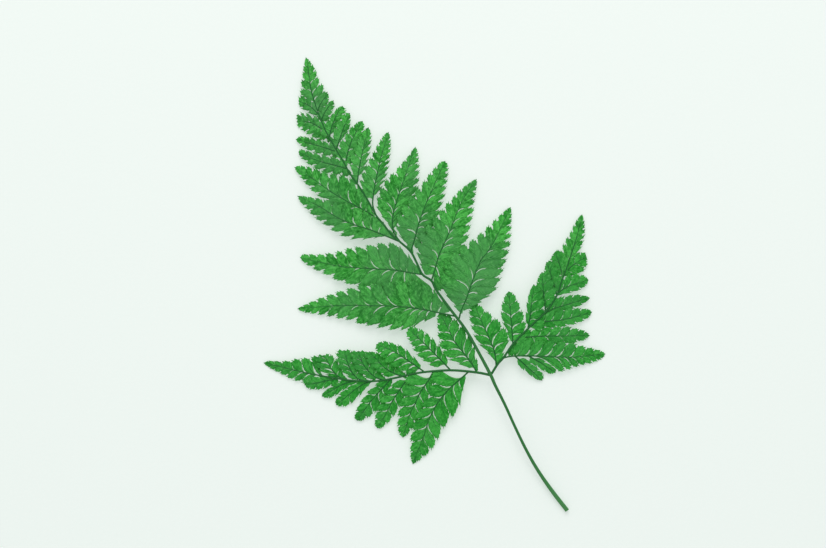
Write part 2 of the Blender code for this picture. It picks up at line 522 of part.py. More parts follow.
class Blade:
    """The outline points of one blade, each with its height and half of its thickness."""

    def __init__(self):
        self.points = []
        self.half_thickness = []
        self.triangles = []

    def add(self, place, height, thickness):
        self.points.append((place[0], place[1], height))
        self.half_thickness.append(thickness / 2)
        return len(self.points) - 1


def leaflet_rows(length):
    """The rows of points of a leaflet of this length."""
    return LEAFLET_ROWS[sum(length > limit for limit in LEAFLET_LENGTHS)]


def leaflet_places(spray, line, side):
    """Where one side's leaflets start along the rib, as shares of it, and where their tips lie."""
    count, bare = spray["count"][side], spray["bare"][side]
    edge = np.array(spray[EDGES[side]], float)
    starts = bare + (1 - bare) * (1 - (1 - np.arange(count) / count) ** CROWDING)
    reach = 1 - (1 - np.arange(count) / max(count - 1, 1)) ** CROWDING
    return list(starts), [point_at(edge, share) for share in reach]


def add_rib_side(blade, spray, line, side, sign, starts):
    """One side of the rib, as its shares and points, from its base to its tip."""
    first = spray["stem"][2] - STEM_SINK if "stem" in spray else 0
    shares = ([first] if first < starts[0] else []) + starts
    if starts[0] - first > LONG_PETIOLE:
        shares.insert(1, (first + starts[0]) / 2)
    rib = []
    for share in shares:
        middle = point_at(line, share)
        across = direction_at(line, share)[::-1] * np.array([-1, 1]) * sign
        width = RIB_WIDTHS[0] + (RIB_WIDTHS[1] - RIB_WIDTHS[0]) * share
        thickness = RIB_THICKNESS + (BLADE_THICKNESS - RIB_THICKNESS) * share
        rib.append((share, blade.add(middle[:2] + across * width / 2, middle[2], thickness)))
    return rib


def add_leaflet(blade, base, end, middle, along, tips, rise):
    """One leaflet between two points of the rib. Returns its outline between them."""
    before, tip, after = tips
    starts = np.array(blade.points[base][:2]), np.array(blade.points[end][:2])

    def add_outline(place):
        off = place - middle[:2]
        away = abs(along[0] * off[1] - along[1] * off[0])
        return blade.add(place, middle[2] + rise * away, BLADE_THICKNESS)

    near, far = [base], [end]
    for share, near_bulge, far_bulge in leaflet_rows(np.linalg.norm(tip - middle[:2])):
        bulge = far_bulge * share * (after - tip)
        far.append(add_outline(starts[1] + (tip - starts[1]) * share + bulge))
        blade.triangles.append((near[-1], far[-1], far[-2]))
        if near_bulge is not None:
            bulge = near_bulge * share * (before - tip)
            near.append(add_outline(starts[0] + (tip - starts[0]) * share + bulge))
            blade.triangles.append((near[-2], near[-1], far[-1]))
    point = add_outline(tip)
    blade.triangles.append((near[-1], point, far[-1]))
    return near[1:] + [point] + far[:0:-1]


def add_side(blade, spray, line, side, tip_index):
    """One side of the blade: its rib and its outline, both from base to tip."""
    sign = side_sign(line, np.array(spray[EDGES[side]], float), (1 + spray["bare"][side]) / 2)
    rise = spray["twist"] * (1 if side == 0 else -1)
    starts, tips = leaflet_places(spray, line, side)
    rib = add_rib_side(blade, spray, line, side, sign, starts) + [(1, tip_index)]
    tips = [2 * tips[0] - tips[1]] + tips + [line[-1, :2]]
    petiole = len(rib) - len(starts) - 1
    outline = [point for _, point in rib[:petiole]]
    for number in range(len(starts)):
        (base_share, base), (end_share, end) = rib[petiole + number : petiole + number + 2]
        share = (base_share + end_share) / 2
        middle, along = point_at(line, share), direction_at(line, share)
        outline.append(base)
        outline += add_leaflet(blade, base, end, middle, along, tips[number : number + 3], rise)
    return rib, outline


def add_rib_strip(blade, left, right):
    """The strip between the two sides of the rib."""
    i = j = 0
    while i < len(left) - 1 or j < len(right) - 1:
        left_next = left[i + 1][0] if i < len(left) - 1 else 2
        right_next = right[j + 1][0] if j < len(right) - 1 else 2
        corner = left[i + 1][1] if left_next <= right_next else right[j + 1][1]
        triangle = (left[i][1], corner, right[j][1])
        if left_next <= right_next:
            i += 1
        else:
            j += 1
        if len(set(triangle)) == 3:
            blade.triangles.append(triangle)


def blade_mesh(spray, line):
    """Points and faces of one closed blade, with the same triangles on both faces."""
    blade = Blade()
    tip_index = blade.add(line[-1, :2], line[-1, 2], BLADE_THICKNESS)
    front_rib, front_outline = add_side(blade, spray, line, 0, tip_index)
    back_rib, back_outline = add_side(blade, spray, line, 1, tip_index)
    add_rib_strip(blade, front_rib, back_rib)
    outline = front_outline + [tip_index] + back_outline[::-1]

    points = np.array(blade.points)
    half = np.array(blade.half_thickness)
    lift = np.column_stack([np.zeros((len(half), 2)), half])
    count = len(points)
    faces = []
    for a, b, c in blade.triangles:
        first, second = points[b, :2] - points[a, :2], points[c, :2] - points[a, :2]
        if first[0] * second[1] - first[1] * second[0] < 0:
            b, c = c, b
        faces.append((a, b, c))
        faces.append((c + count, b + count, a + count))
    steps = list(zip(outline, outline[1:] + outline[:1]))
    area = sum(points[a, 0] * points[b, 1] - points[a, 1] * points[b, 0] for a, b in steps)
    for a, b in steps:
        if area < 0:
            a, b = b, a
        faces.append((b, a, a + count))
        faces.append((b, a + count, b + count))
    return np.vstack([points + lift, points - lift]), faces


def tube_mesh(line, sides):
    """Points and faces of a closed tube along x, y, height and radius."""
    points, faces = [], []
    for number, (x, y, height, radius) in enumerate(line):
        after, before = min(number + 1, len(line) - 1), max(number - 1, 0)
        along = line[after, :2] - line[before, :2]
        across = np.array([-along[1], along[0]]) / np.linalg.norm(along)
        for side in range(sides):
            angle = 2 * math.pi * (side + 0.5) / sides
            offset = across * math.cos(angle) * radius
            points.append((x + offset[0], y + offset[1], height + math.sin(angle) * radius))
    for ring in range(len(line) - 1):
        for side in range(sides):
            a = ring * sides + side
            b = ring * sides + (side + 1) % sides
            faces.append((a, b, b + sides, a + sides))
    faces.append(tuple(reversed(range(sides))))
    faces.append(tuple(range((len(line) - 1) * sides, len(line) * sides)))
    return np.array(points), faces


def stem_line(spray, line):
    """The round stem of a large pinna, up to its first leaflets."""
    thick, thin, end = spray["stem"]
    shares = np.linspace(0, end, STEM_RINGS)
    places = np.array([point_at(line, share) for share in shares])
    return np.column_stack([places, thick + (thin - thick) * shares / end])


def placed(points):
    """From the frond as drawn to its upright place over the origin, in metres."""
    x, y, height = points.T
    turned_x = x * math.cos(LEAN) + y * math.sin(LEAN) - BOX_MIDDLE[0]
    turned_y = y * math.cos(LEAN) - x * math.sin(LEAN) - BOX_MIDDLE[1]
    return np.column_stack([turned_x, turned_y, height]) * MM


def new_object(name, points, faces, collection):
    mesh = bpy.data.meshes.new(name)
    mesh.from_pydata(placed(points).tolist(), [], faces)
    mesh.validate()
    piece = bpy.data.objects.new(name, mesh)
    collection.objects.link(piece)
    return piece


def leaf_material():
    material = bpy.data.materials.new("dyed_fern_leaf")
    material.use_nodes = True
    shader = material.node_tree.nodes["Principled BSDF"]
    shader.inputs["Base Color"].default_value = LEAF_GREEN
    shader.inputs["Roughness"].default_value = LEAF_ROUGHNESS
    return material


def build():
    for thing in list(bpy.data.objects):
        bpy.data.objects.remove(thing)
    scene = bpy.context.scene
    sprays = bpy.data.collections.new("sprays")
    scene.collection.children.link(sprays)

    rachis = smooth_line(RACHIS, steps=1)
    frond = new_object("fern_frond", *tube_mesh(rachis, STALK_SIDES), scene.collection)
    lines = {"rachis": smooth_line(RACHIS)[:, :3]}
    for name, spray in SPRAYS.items():
        lines[name] = rib_line(spray, lines[spray["parent"]])
        new_object(name, *blade_mesh(spray, lines[name]), sprays)
        if "stem" in spray:
            new_object(name + "_stem", *tube_mesh(stem_line(spray, lines[name]), STEM_SIDES), sprays)

    union = frond.modifiers.new("join", "BOOLEAN")
    union.operation = "UNION"
    union.operand_type = "COLLECTION"
    union.collection = sprays
    union.solver = "MANIFOLD"
    bpy.context.view_layer.objects.active = frond
    bpy.ops.object.modifier_apply(modifier=union.name)
    for piece in list(sprays.objects):
        bpy.data.objects.remove(piece)
    bpy.data.collections.remove(sprays)

    frond.data.materials.clear()
    frond.data.materials.append(leaf_material())
    frond.data.shade_smooth()
    frond.data.set_sharp_from_angle(angle=math.radians(30))


build()
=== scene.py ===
import math

import bpy
import numpy as np
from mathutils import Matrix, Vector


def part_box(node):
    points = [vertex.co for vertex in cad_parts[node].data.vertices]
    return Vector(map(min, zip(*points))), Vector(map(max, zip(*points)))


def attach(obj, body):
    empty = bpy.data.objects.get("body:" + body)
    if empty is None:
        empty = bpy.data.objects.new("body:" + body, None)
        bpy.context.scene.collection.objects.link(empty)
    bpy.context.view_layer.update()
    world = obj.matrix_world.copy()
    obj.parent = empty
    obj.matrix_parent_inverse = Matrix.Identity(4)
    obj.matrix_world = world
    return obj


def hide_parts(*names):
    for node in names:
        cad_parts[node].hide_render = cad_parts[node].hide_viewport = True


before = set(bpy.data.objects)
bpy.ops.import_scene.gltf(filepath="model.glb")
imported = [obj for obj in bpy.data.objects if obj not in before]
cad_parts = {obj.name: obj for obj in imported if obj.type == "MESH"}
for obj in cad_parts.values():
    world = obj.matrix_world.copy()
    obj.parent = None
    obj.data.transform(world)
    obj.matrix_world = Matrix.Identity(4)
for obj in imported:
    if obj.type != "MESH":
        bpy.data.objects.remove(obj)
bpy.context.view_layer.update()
frond_low, frond_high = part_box("fern_frond")


# The stalk and rachis. One tough fibrous axis, thickest at its cut end and as fine as a bristle under
# the apex. It has a shallow groove along its upper side. The dye has soaked in evenly, and the colour is
# paler where the axis is thick, towards the cut end.
MM = 0.001
# The frond is drawn in mm from the stalk's fork, leaning as it lies. Turned upright, the middle of its
# box is the origin.
LEAN = math.radians(30)
BOX_MIDDLE = (-7.865, 52.666)
AXIS_SIDES = 16
GROOVE_DEPTH = 0.16
GROOVE_WIDTH = math.radians(24)
# how far a tube's base and end bulge, as shares of its radius
BASE_BULGE, END_BULGE = 0.1, 0.6
SHARP_EDGE = math.radians(50)
# the radius where the skin begins to pale, and how much more of it makes the skin fully pale
PALE_RADIUS, PALE_SPAN = 0.6, 0.5
RACHIS = [
    # x, y, height, radius
    (38.3, -67.9, 1.08, 1.08),
    (31.9, -59.7, 1.9, 1.05),
    (26.1, -51.6, 2.8, 0.92),
    (21.3, -44.0, 3.7, 0.83),
    (16.6, -35.3, 4.6, 0.75),
    (11.8, -25.3, 5.4, 0.70),
    (7.0, -14.8, 6.0, 0.72),
    (2.2, -5.2, 6.4, 0.78),
    (-0.2, 0.2, 6.6, 0.85),
    (-6.5, 12.0, 7.0, 0.76),
    (-12.5, 22.5, 7.3, 0.72),
    (-20.0, 32.5, 7.5, 0.68),
    (-27.0, 42.0, 7.6, 0.62),
    (-29.5, 46.8, 7.6, 0.60),
    (-34.0, 50.0, 7.5, 0.58),
    (-37.0, 56.0, 7.4, 0.57),
    (-40.0, 61.5, 7.3, 0.55),
    (-45.5, 66.5, 7.1, 0.52),
    (-49.5, 70.0, 6.9, 0.50),
    (-53.5, 75.0, 6.7, 0.48),
    (-57.5, 80.0, 6.4, 0.46),
    (-61.0, 86.5, 6.0, 0.44),
    (-65.0, 93.0, 5.6, 0.42),
    (-70.0, 100.0, 5.1, 0.40),
    (-73.0, 105.5, 4.7, 0.39),
    (-77.5, 113.0, 4.1, 0.37),
    (-82.5, 122.0, 3.4, 0.35),
    (-86.5, 132.0, 2.5, 0.33),
    (-88.0, 136.5, 2.1, 0.32),
]


def smooth_line(points, steps=12):
    """A dense line along a Catmull-Rom curve through the points."""
    points = np.array(points, float)
    padded = np.vstack([2 * points[0] - points[1], points, 2 * points[-1] - points[-2]])
    t = (np.arange(steps) / steps)[:, None]
    line = []
    for before, start, end, after in zip(padded, padded[1:], padded[2:], padded[3:]):
        straight = 2 * start + (end - before) * t
        bent = (2 * before - 5 * start + 4 * end - after) * t**2
        line.append(0.5 * (straight + bent + (3 * start - before - 3 * end + after) * t**3))
    return np.vstack(line + [points[-1:]])


def turned_upright(x, y):
    """A place as drawn, turned and moved so that the frond is upright around the origin."""
    turned_x = x * math.cos(LEAN) + y * math.sin(LEAN) - BOX_MIDDLE[0]
    turned_y = y * math.cos(LEAN) - x * math.sin(LEAN) - BOX_MIDDLE[1]
    return turned_x, turned_y


def upright(points):
    """The upright places in metres of points in mm as drawn, never outside the solid's box."""
    x, y, height = np.array(points, float).T
    places = np.column_stack([*turned_upright(x, y), height]) * MM
    return np.clip(places, np.array(frond_low), np.array(frond_high))


def axis_tube(line, sides, groove=0.0):
    """Points, faces and grain (round and along, in mm) of a closed tapered tube with domed ends."""
    line = np.array(line, float)
    middle, radii = line[:, :3], line[:, 3]
    along = np.gradient(middle, axis=0)
    along /= np.linalg.norm(along, axis=1)[:, None]
    across = np.column_stack([-along[:, 1], along[:, 0], np.zeros(len(along))])
    across /= np.linalg.norm(across, axis=1)[:, None]
    up = np.cross(along, across)
    angle = 2 * math.pi * np.arange(sides) / sides
    dip = 1 - groove * np.exp(-(((angle - math.pi / 2) / GROOVE_WIDTH) ** 2))
    reach = radii[:, None] * dip[None, :]
    ring = (
        across[:, None, :] * (np.cos(angle) * reach)[:, :, None]
        + up[:, None, :] * (np.sin(angle) * reach)[:, :, None]
    )
    travelled = np.concatenate([[0], np.cumsum(np.linalg.norm(np.diff(middle, axis=0), axis=1))])
    around = np.tile(angle, len(line)) * np.repeat(radii, sides)
    first = np.arange(len(line) - 1)[:, None] * sides
    side = np.arange(sides)[None, :]
    after = (side + 1) % sides
    walls = np.stack([first + side, first + after, first + after + sides, first + side + sides], axis=-1)
    faces = walls.reshape(-1, 4).tolist()
    base_tip = middle[0] - along[0] * radii[0] * BASE_BULGE
    end_tip = middle[-1] + along[-1] * radii[-1] * END_BULGE
    points = np.vstack([(middle[:, None, :] + ring).reshape(-1, 3), base_tip, end_tip])
    grain = np.column_stack([around, np.repeat(travelled, sides)])
    grain = np.vstack([grain, [[0, 0], [0, travelled[-1]]]])
    ring_points = len(line) * sides
    last = ring_points - sides
    for number in range(sides):
        following = (number + 1) % sides
        faces.append([following, number, ring_points])
        faces.append([last + number, last + following, ring_points + 1])
    return points, faces, grain


def new_piece(name, points, faces, material, flat, tints):
    """A smooth-shaded object of the frond, riding on it and standing for the plain solid."""
    mesh = bpy.data.meshes.new(name)
    mesh.from_pydata(upright(points).tolist(), [], faces)
    layer = mesh.uv_layers.new(name="grain")
    corners = np.zeros(len(mesh.loops), np.int32)
    mesh.loops.foreach_get("vertex_index", corners)
    layer.uv.foreach_set("vector", np.array(flat, np.float32)[corners].ravel())
    for tint, values in tints.items():
        attribute = mesh.attributes.new(tint, "FLOAT", "POINT")
        attribute.data.foreach_set("value", np.array(values, np.float32))
    mesh.materials.append(material)
    mesh.shade_smooth()
    mesh.set_sharp_from_angle(angle=SHARP_EDGE)
    piece = bpy.data.objects.new(name, mesh)
    bpy.context.scene.collection.objects.link(piece)
    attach(piece, "root")
    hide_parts("fern_frond")


def linear(hex_colour):
    """An sRGB hex colour as linear red, green, blue and alpha."""
    channels = [int(hex_colour[start : start + 2], 16) / 255 for start in (1, 3, 5)]
    return tuple(c / 12.92 if c <= 0.04045 else ((c + 0.055) / 1.055) ** 2.4 for c in channels) + (1.0,)


def add_node(tree, kind, values=(), links=(), **settings):
    """One shader node, with its settings, its own socket values and its links.
    A link that names a whole node comes from that node's first output."""
    node = tree.nodes.new(kind)
    for name, value in settings.items():
        setattr(node, name, value)
    for socket, value in dict(values).items():
        node.inputs[socket].default_value = value
    for socket, source in dict(links).items():
        output = source.outputs[0] if isinstance(source, bpy.types.Node) else source
        tree.links.new(output, node.inputs[socket])
    return node


def new_material(name):
    material = bpy.data.materials.new(name)
    material.use_nodes = True
    material.node_tree.nodes.clear()
    return material, material.node_tree


# Dyed stalk skin: a hard waxy skin over long fibres. The eye gets fine streaks along it, a soft low gloss
# and a dull dark green, paler where the axis is thick, towards the cut end.
stalk_skin, tree = new_material("dyed_stalk_skin")
grain = add_node(tree, "ShaderNodeUVMap", uv_map="grain")
# fibres 0.2 mm wide and about 3 mm long, a little coarser than real ones
fibres = add_node(tree, "ShaderNodeMapping", {"Scale": (5.0, 0.35, 1.0)}, {"Vector": grain})
streaks = add_node(
    tree, "ShaderNodeTexNoise", {"Scale": 1.0, "Detail": 3.0, "Roughness": 0.6}, {"Vector": fibres}
)
greens = add_node(tree, "ShaderNodeValToRGB", links={"Fac": streaks})
for stop, (position, colour) in zip(greens.color_ramp.elements, [(0.3, "#0f5a24"), (0.75, "#2a8038")]):
    stop.position, stop.color = position, linear(colour)
# the skin is paler where the axis is thick, by its radius
thick = add_node(tree, "ShaderNodeAttribute", attribute_name="thick")
paler_where_thick = add_node(
    tree, "ShaderNodeMix", {"B": linear("#4b8f50")}, {"Factor": thick.outputs["Fac"], "A": greens},
    data_type="RGBA",
)
relief = add_node(tree, "ShaderNodeBump", {"Strength": 0.5, "Distance": 0.00005}, {"Height": streaks})
skin = add_node(
    tree, "ShaderNodeBsdfPrincipled", {"Roughness": 0.42, "IOR": 1.45, "Specular IOR Level": 0.35},
    {"Base Color": paler_where_thick.outputs["Result"], "Normal": relief},
)
add_node(tree, "ShaderNodeOutputMaterial", links={"Surface": skin})

rachis = smooth_line(RACHIS, steps=6)
points, faces, grain_places = axis_tube(rachis, AXIS_SIDES, GROOVE_DEPTH)
thickness = np.append(np.repeat(rachis[:, 3], AXIS_SIDES), rachis[[0, -1], 3])
thickness = np.clip((thickness - PALE_RADIUS) / PALE_SPAN, 0, 1)
new_piece("stalk_and_rachis", points, faces, stalk_skin, grain_places, {"thick": thickness})


# The ribs. Each pinna hangs on a fine wiry rib that runs out of the rachis and thins to its tip. The two
# basal pinnae have thick round ribs that branch again. All are of the same skin as the stalk.
RIB_RADII = (0.42, 0.15)
RIB_SIDES = 8
ROOT_DROP = 0.4
FRONT, BACK = 0, 1
EDGES = ("front", "back")
# the share of a line on each side of a place that its direction there is taken from
AIM_SHARE = 0.02
# Every pinna and spray. The rib runs from what it grows from to its tip. The edges run through the tips
# of the leaflets, on the side towards the apex (front) and towards the stalk (back), in mm.
# count: leaflets on each side. bare: share of the rib before the first leaflet, on each side.
# tip: height of the rib's end. arch: how far its middle is raised. twist: rise of the front side
# and fall of the back side for each mm away from the rib, which keeps neighbours clear.
# stem: radii of a round stem at its base and end in mm, and the share of the rib that it takes.
# loose: width of the gaps between its leaflets, as a share of the usual width. On left_1 it also sets
# the pinna's own leaflets apart, as those of the side sprays are.
SPRAYS = {
    "apex": dict(
        rib=[(-87, 133), (-88.5, 138), (-89.8, 143), (-90.5, 148), (-91.3, 153), (-92.3, 158.5)],
        front=[(-94.6, 143.4), (-94.3, 147), (-93.8, 151), (-93.4, 154.2)],
        back=[(-82.6, 142.4), (-85, 146), (-86.7, 149.6), (-87.7, 153), (-90.4, 157)],
        count=(4, 6), bare=(0.02, 0.02), tip=0.3, arch=0.2, twist=0.0,
    ),
    "left_9": dict(
        rib=[(-85.4, 128.8), (-88, 132.2), (-91.6, 134.9), (-95.9, 136.6)],
        front=[(-89, 137.2), (-91.7, 138.9), (-95.3, 139.2)],
        back=[(-87, 128.8), (-90.4, 130.6), (-95, 133.2)],
        count=(3, 3), bare=(0.05, 0.05), tip=1.0, arch=0.5, twist=0.2,
    ),
    "left_8": dict(
        rib=[(-81.6, 120.4), (-85.6, 123.6), (-90.6, 126), (-96.8, 126.3)],
        front=[(-85, 127.2), (-87.6, 129.1), (-91.2, 130.5), (-95.4, 131)],
        back=[(-82.6, 116.7), (-86.5, 117.4), (-90.8, 119.4), (-95.2, 122.6)],
        count=(4, 5), bare=(0.05, 0.05), tip=1.1, arch=0.5, twist=0.18,
    ),
    "left_7": dict(
        rib=[(-77, 111.3), (-82.5, 113.2), (-90, 115.4), (-97.3, 117.4)],
        front=[(-80.5, 115.4), (-84.5, 116.9), (-89.2, 118.4), (-95.2, 119.1)],
        back=[(-79.5, 109), (-84, 109.6), (-90.2, 111.5), (-95.2, 114.7)],
        count=(6, 5), bare=(0.06, 0.06), tip=1.2, arch=0.6, twist=0.18,
    ),
    "left_6": dict(
        rib=[(-71.5, 102.8), (-78, 104.6), (-86.5, 106.9), (-96, 111.2)],
        front=[(-75.5, 107.5), (-80.5, 108.8), (-85.2, 109.8), (-90.5, 111.4), (-94.8, 112.6)],
        back=[(-74.5, 99.6), (-79, 99.6), (-86, 101.9), (-90.5, 104.8), (-94.8, 108.2)],
        count=(6, 6), bare=(0.06, 0.06), tip=1.3, arch=0.7, twist=0.16,
    ),
    "left_5": dict(
        rib=[(-53.5, 75), (-59, 79.5), (-65, 83), (-72.5, 87), (-80, 91.5), (-89, 98), (-98, 103.5)],
        front=[(-60.8, 86.5), (-64.2, 93.4), (-70, 98.7), (-77.5, 100.3), (-84.5, 101.7), (-89.8, 103.4),
               (-94.8, 104.4)],
        back=[(-62, 75.5), (-70, 79), (-78, 83), (-85, 88), (-90.5, 93.3), (-95.5, 99)],
        count=(10, 9), bare=(0.06, 0.08), tip=1.4, arch=1.0, twist=0.13,
    ),
    "left_4": dict(
        rib=[(-46, 66.6), (-52.5, 69.3), (-60, 72.3), (-70, 75.5), (-77.5, 79), (-86, 84.3), (-96.5, 89.2)],
        front=[(-50.6, 72.6), (-56, 78.6), (-64, 82.2), (-72.5, 85), (-81, 86.8), (-88, 88.2), (-94, 89.3)],
        back=[(-58.5, 68), (-67, 66.8), (-74, 68.6), (-80, 72.5), (-87.5, 78.3), (-93.3, 83.7)],
        count=(11, 9), bare=(0.05, 0.08), tip=1.3, arch=1.2, twist=0.12,
    ),
    "left_3": dict(
        rib=[(-34, 50), (-39.5, 50.8), (-47.5, 52.2), (-57.5, 52.8), (-67.5, 53.4), (-75, 54), (-85, 56.2),
             (-95.2, 58.4)],
        front=[(-37.6, 56), (-42.5, 62), (-48, 66.2), (-55, 65.6), (-62, 64.2), (-69, 63.6), (-77, 61),
               (-86.5, 59.8), (-93.5, 60.2)],
        back=[(-37.5, 38.5), (-47.5, 38), (-59, 42.3), (-70, 44.8), (-78, 48), (-85.5, 51.3),
              (-92.5, 55.3)],
        count=(13, 10), bare=(0.05, 0.06), tip=1.1, arch=1.3, twist=0.12,
    ),
    "left_2": dict(
        rib=[(-17.5, 29.2), (-26, 31), (-33, 32.5), (-42.5, 33.8), (-52.5, 34.5), (-62.5, 34.5),
             (-75, 34.6), (-86, 33.8), (-96.5, 32.8)],
        front=[(-24.5, 38.2), (-29.6, 44), (-35, 46.8), (-42, 46.8), (-49, 46.8), (-57, 45.8), (-65, 44.8),
               (-70.5, 43), (-76.5, 41.4), (-81, 39.6), (-88.5, 36.7), (-93.8, 34.5)],
        back=[(-34, 26), (-41, 22.8), (-47.5, 22), (-54, 23), (-61.5, 24.2), (-67.5, 26.3), (-76, 28.3),
              (-86, 30), (-93, 31)],
        count=(14, 13), bare=(0.08, 0.12), tip=0.9, arch=1.4, twist=0.12,
    ),
    "left_1": dict(
        rib=[(-0.6, 0.0), (-7.5, 1.3), (-20, 2.3), (-33, 1.4), (-40, 0.2), (-46, -1.2), (-54, -2.8),
             (-60, -3.2), (-70, -2.8), (-80, -1.3), (-87.5, 0.0), (-95, 1.5), (-105, 4), (-113.5, 5.8)],
        front=[(-90.2, 8.4), (-94.6, 7.8), (-99, 6.9), (-104.5, 6.4), (-111, 6.8)],
        back=[(-95, -3.4), (-97.5, -3.2), (-102, -0.6), (-106.5, 1.5), (-110.5, 3.4)],
        count=(6, 6), bare=(0.71, 0.74), tip=0.31, arch=1.0, twist=0.08, stem=(0.66, 0.4, 0.72), loose=2.6,
    ),
    "left_1_up_1": dict(
        rib=[(-7, 1.4), (-9.8, 6), (-14, 11.5), (-18, 16.5), (-21.2, 23), (-25.5, 31)],
        front=[(-16.5, 6), (-22.3, 8.6), (-24.8, 13.5), (-26, 21.5), (-26.7, 28.5)],
        back=[(-7.4, 8.4), (-8.4, 14.6), (-11.8, 21), (-16.2, 26), (-21.8, 30.5)],
        count=(7, 6), bare=(0.14, 0.18), tip=5.6, arch=0.8, twist=0.08,
    ),
    "left_1_up_2": dict(
        rib=[(-20, 2.3), (-24, 6.5), (-28, 10.5), (-32.5, 15), (-36.5, 18.7), (-41.5, 23)],
        front=[(-31.2, 6), (-35.8, 9), (-38.8, 13.5), (-41.5, 18.5)],
        back=[(-24, 11.5), (-26.7, 15.5), (-30, 19), (-34, 22), (-38.5, 24.2)],
        count=(6, 6), bare=(0.2, 0.22), tip=6.4, arch=0.8, twist=0.1,
    ),
    "left_1_up_3": dict(
        rib=[(-33, 1.4), (-38.5, 5.3), (-44, 9), (-49, 12), (-57, 15.3)],
        front=[(-43.5, 1.6), (-49, 4.2), (-53.8, 8.3), (-57.3, 12.6)],
        back=[(-38.8, 9.3), (-41.5, 12.2), (-44.8, 14.6), (-48.5, 15.7), (-54, 16.8)],
        count=(6, 5), bare=(0.16, 0.2), tip=6.0, arch=0.7, twist=0.12,
    ),
    "left_1_up_4": dict(
        rib=[(-43.5, -0.7), (-48, 0.6), (-53, 3.6), (-57, 7.8), (-60.5, 11.6)],
        front=[(-54.4, 0.6), (-58.8, 3.2), (-61.9, 7.2), (-63.3, 10.6)],
        back=[(-44.4, 2), (-46.6, 5.6), (-50, 8), (-54, 9.9), (-57.5, 11.2)],
        count=(5, 5), bare=(0.1, 0.1), tip=5.0, arch=0.4, twist=0.14, loose=0.5,
    ),
    "left_1_up_5": dict(
        rib=[(-53, -2.7), (-57.5, -1.2), (-61.5, 2.5), (-64.5, 7), (-66, 11.9)],
        front=[(-63.2, -0.4), (-66.9, 2.2), (-69.3, 6.5), (-70, 11)],
        back=[(-54, -0.2), (-56.2, 4.6), (-58.8, 8.2), (-61.8, 11.4)],
        count=(5, 4), bare=(0.1, 0.1), tip=4.4, arch=0.3, twist=0.14, loose=0.5,
    ),
    "left_1_up_6": dict(
        rib=[(-62.5, -3.1), (-66.5, -1.8), (-69.5, 1.8), (-71.5, 6.5), (-73, 12.3)],
        front=[(-71.8, -0.2), (-75, 2.6), (-77, 6.8), (-77.2, 11.4)],
        back=[(-63.2, -0.8), (-64.8, 3.4), (-66.8, 8), (-69.6, 12.2)],
        count=(5, 4), bare=(0.1, 0.1), tip=3.8, arch=0.3, twist=0.14, loose=0.5,
    ),
    "left_1_up_7": dict(
        rib=[(-72.5, -2.5), (-76.2, -0.8), (-79, 2.2), (-81, 5.8), (-83.2, 9.8)],
        front=[(-82.2, 0.4), (-86, 2.4), (-88, 5.8), (-86.9, 9.2)],
        back=[(-73.2, -0.4), (-75, 3.8), (-77.2, 7.8), (-80.2, 10.3)],
        count=(4, 4), bare=(0.1, 0.1), tip=3.2, arch=0.3, twist=0.14, loose=1.0,
    ),
    "left_1_down_1": dict(
        rib=[(-11, 1.6), (-14.5, -1.5), (-20.5, -6.8), (-25, -12), (-28.5, -17.5), (-31, -23), (-33, -29.5),
             (-35.5, -36), (-38.8, -44.8)],
        front=[(-29.5, -3.8), (-31, -11), (-35, -17), (-38.5, -23.5), (-39.5, -32), (-39.9, -38),
               (-39.6, -42.5)],
        back=[(-14.2, -9), (-15.2, -15.5), (-19, -20.6), (-23.5, -25.7), (-26.2, -31.5), (-30, -37.6),
              (-33.5, -41.2), (-36.8, -43.6)],
        count=(8, 8), bare=(0.1, 0.12), tip=0.4, arch=0.6, twist=0.08,
    ),
    "left_1_down_2": dict(
        rib=[(-28.5, 1.8), (-31.5, -3.5), (-35, -8.5), (-37.5, -14), (-40, -19), (-42, -25),
             (-43.8, -31.5)],
        front=[(-42.5, -5), (-43.6, -10.5), (-45.2, -15), (-46, -20), (-46.5, -25.5), (-45.6, -29.4)],
        back=[(-28.8, -5.2), (-30.8, -11.2), (-33.2, -16.4), (-36.2, -21), (-39, -26.2), (-41.7, -30.1)],
        count=(6, 7), bare=(0.14, 0.16), tip=0.9, arch=0.5, twist=0.1,
    ),
    "left_1_down_3": dict(
        rib=[(-40, 0.2), (-43, -4), (-46, -8.5), (-49.5, -14), (-52.5, -20), (-56.6, -26.8)],
        front=[(-50, -6.4), (-54.3, -11), (-56.3, -15.6), (-57.4, -20.6), (-57.8, -25.2)],
        back=[(-41, -5.8), (-42.8, -12), (-46.2, -17.2), (-49.6, -21.8), (-52.3, -24.9), (-54.8, -26.9)],
        count=(6, 6), bare=(0.14, 0.18), tip=1.0, arch=0.5, twist=0.12,
    ),
    "left_1_down_4": dict(
        rib=[(-50, -2.2), (-53.3, -6), (-57.5, -10.5), (-61.5, -15.5), (-66.7, -23)],
        front=[(-57.8, -5.6), (-61.2, -8.4), (-63.7, -11.8), (-65.7, -15), (-67.3, -18.6), (-67.9, -21.8)],
        back=[(-50.6, -6.6), (-52.2, -13), (-55.6, -17.4), (-59.2, -19.8), (-62.1, -21.7), (-64.8, -23.3)],
        count=(5, 6), bare=(0.14, 0.18), tip=1.0, arch=0.4, twist=0.13,
    ),
    "left_1_down_5": dict(
        rib=[(-57.5, -3.1), (-63, -4.4), (-68.5, -8), (-72.5, -11.5), (-77, -15.3)],
        front=[(-67.4, -4.3), (-70.7, -6.1), (-73.8, -8.3), (-76.2, -10.8), (-77.6, -13.6)],
        back=[(-61.4, -6), (-64.4, -9.3), (-67.2, -12.2), (-70.6, -14.9), (-74.2, -16.1)],
        count=(4, 4), bare=(0.08, 0.08), tip=1.0, arch=0.3, twist=0.13, loose=0.5,
    ),
    "left_1_down_6": dict(
        rib=[(-67, -3), (-73, -4.4), (-78.5, -7.5), (-84.3, -10.9)],
        front=[(-75.8, -3.7), (-79, -5.5), (-81.9, -7.5), (-84.2, -9.8)],
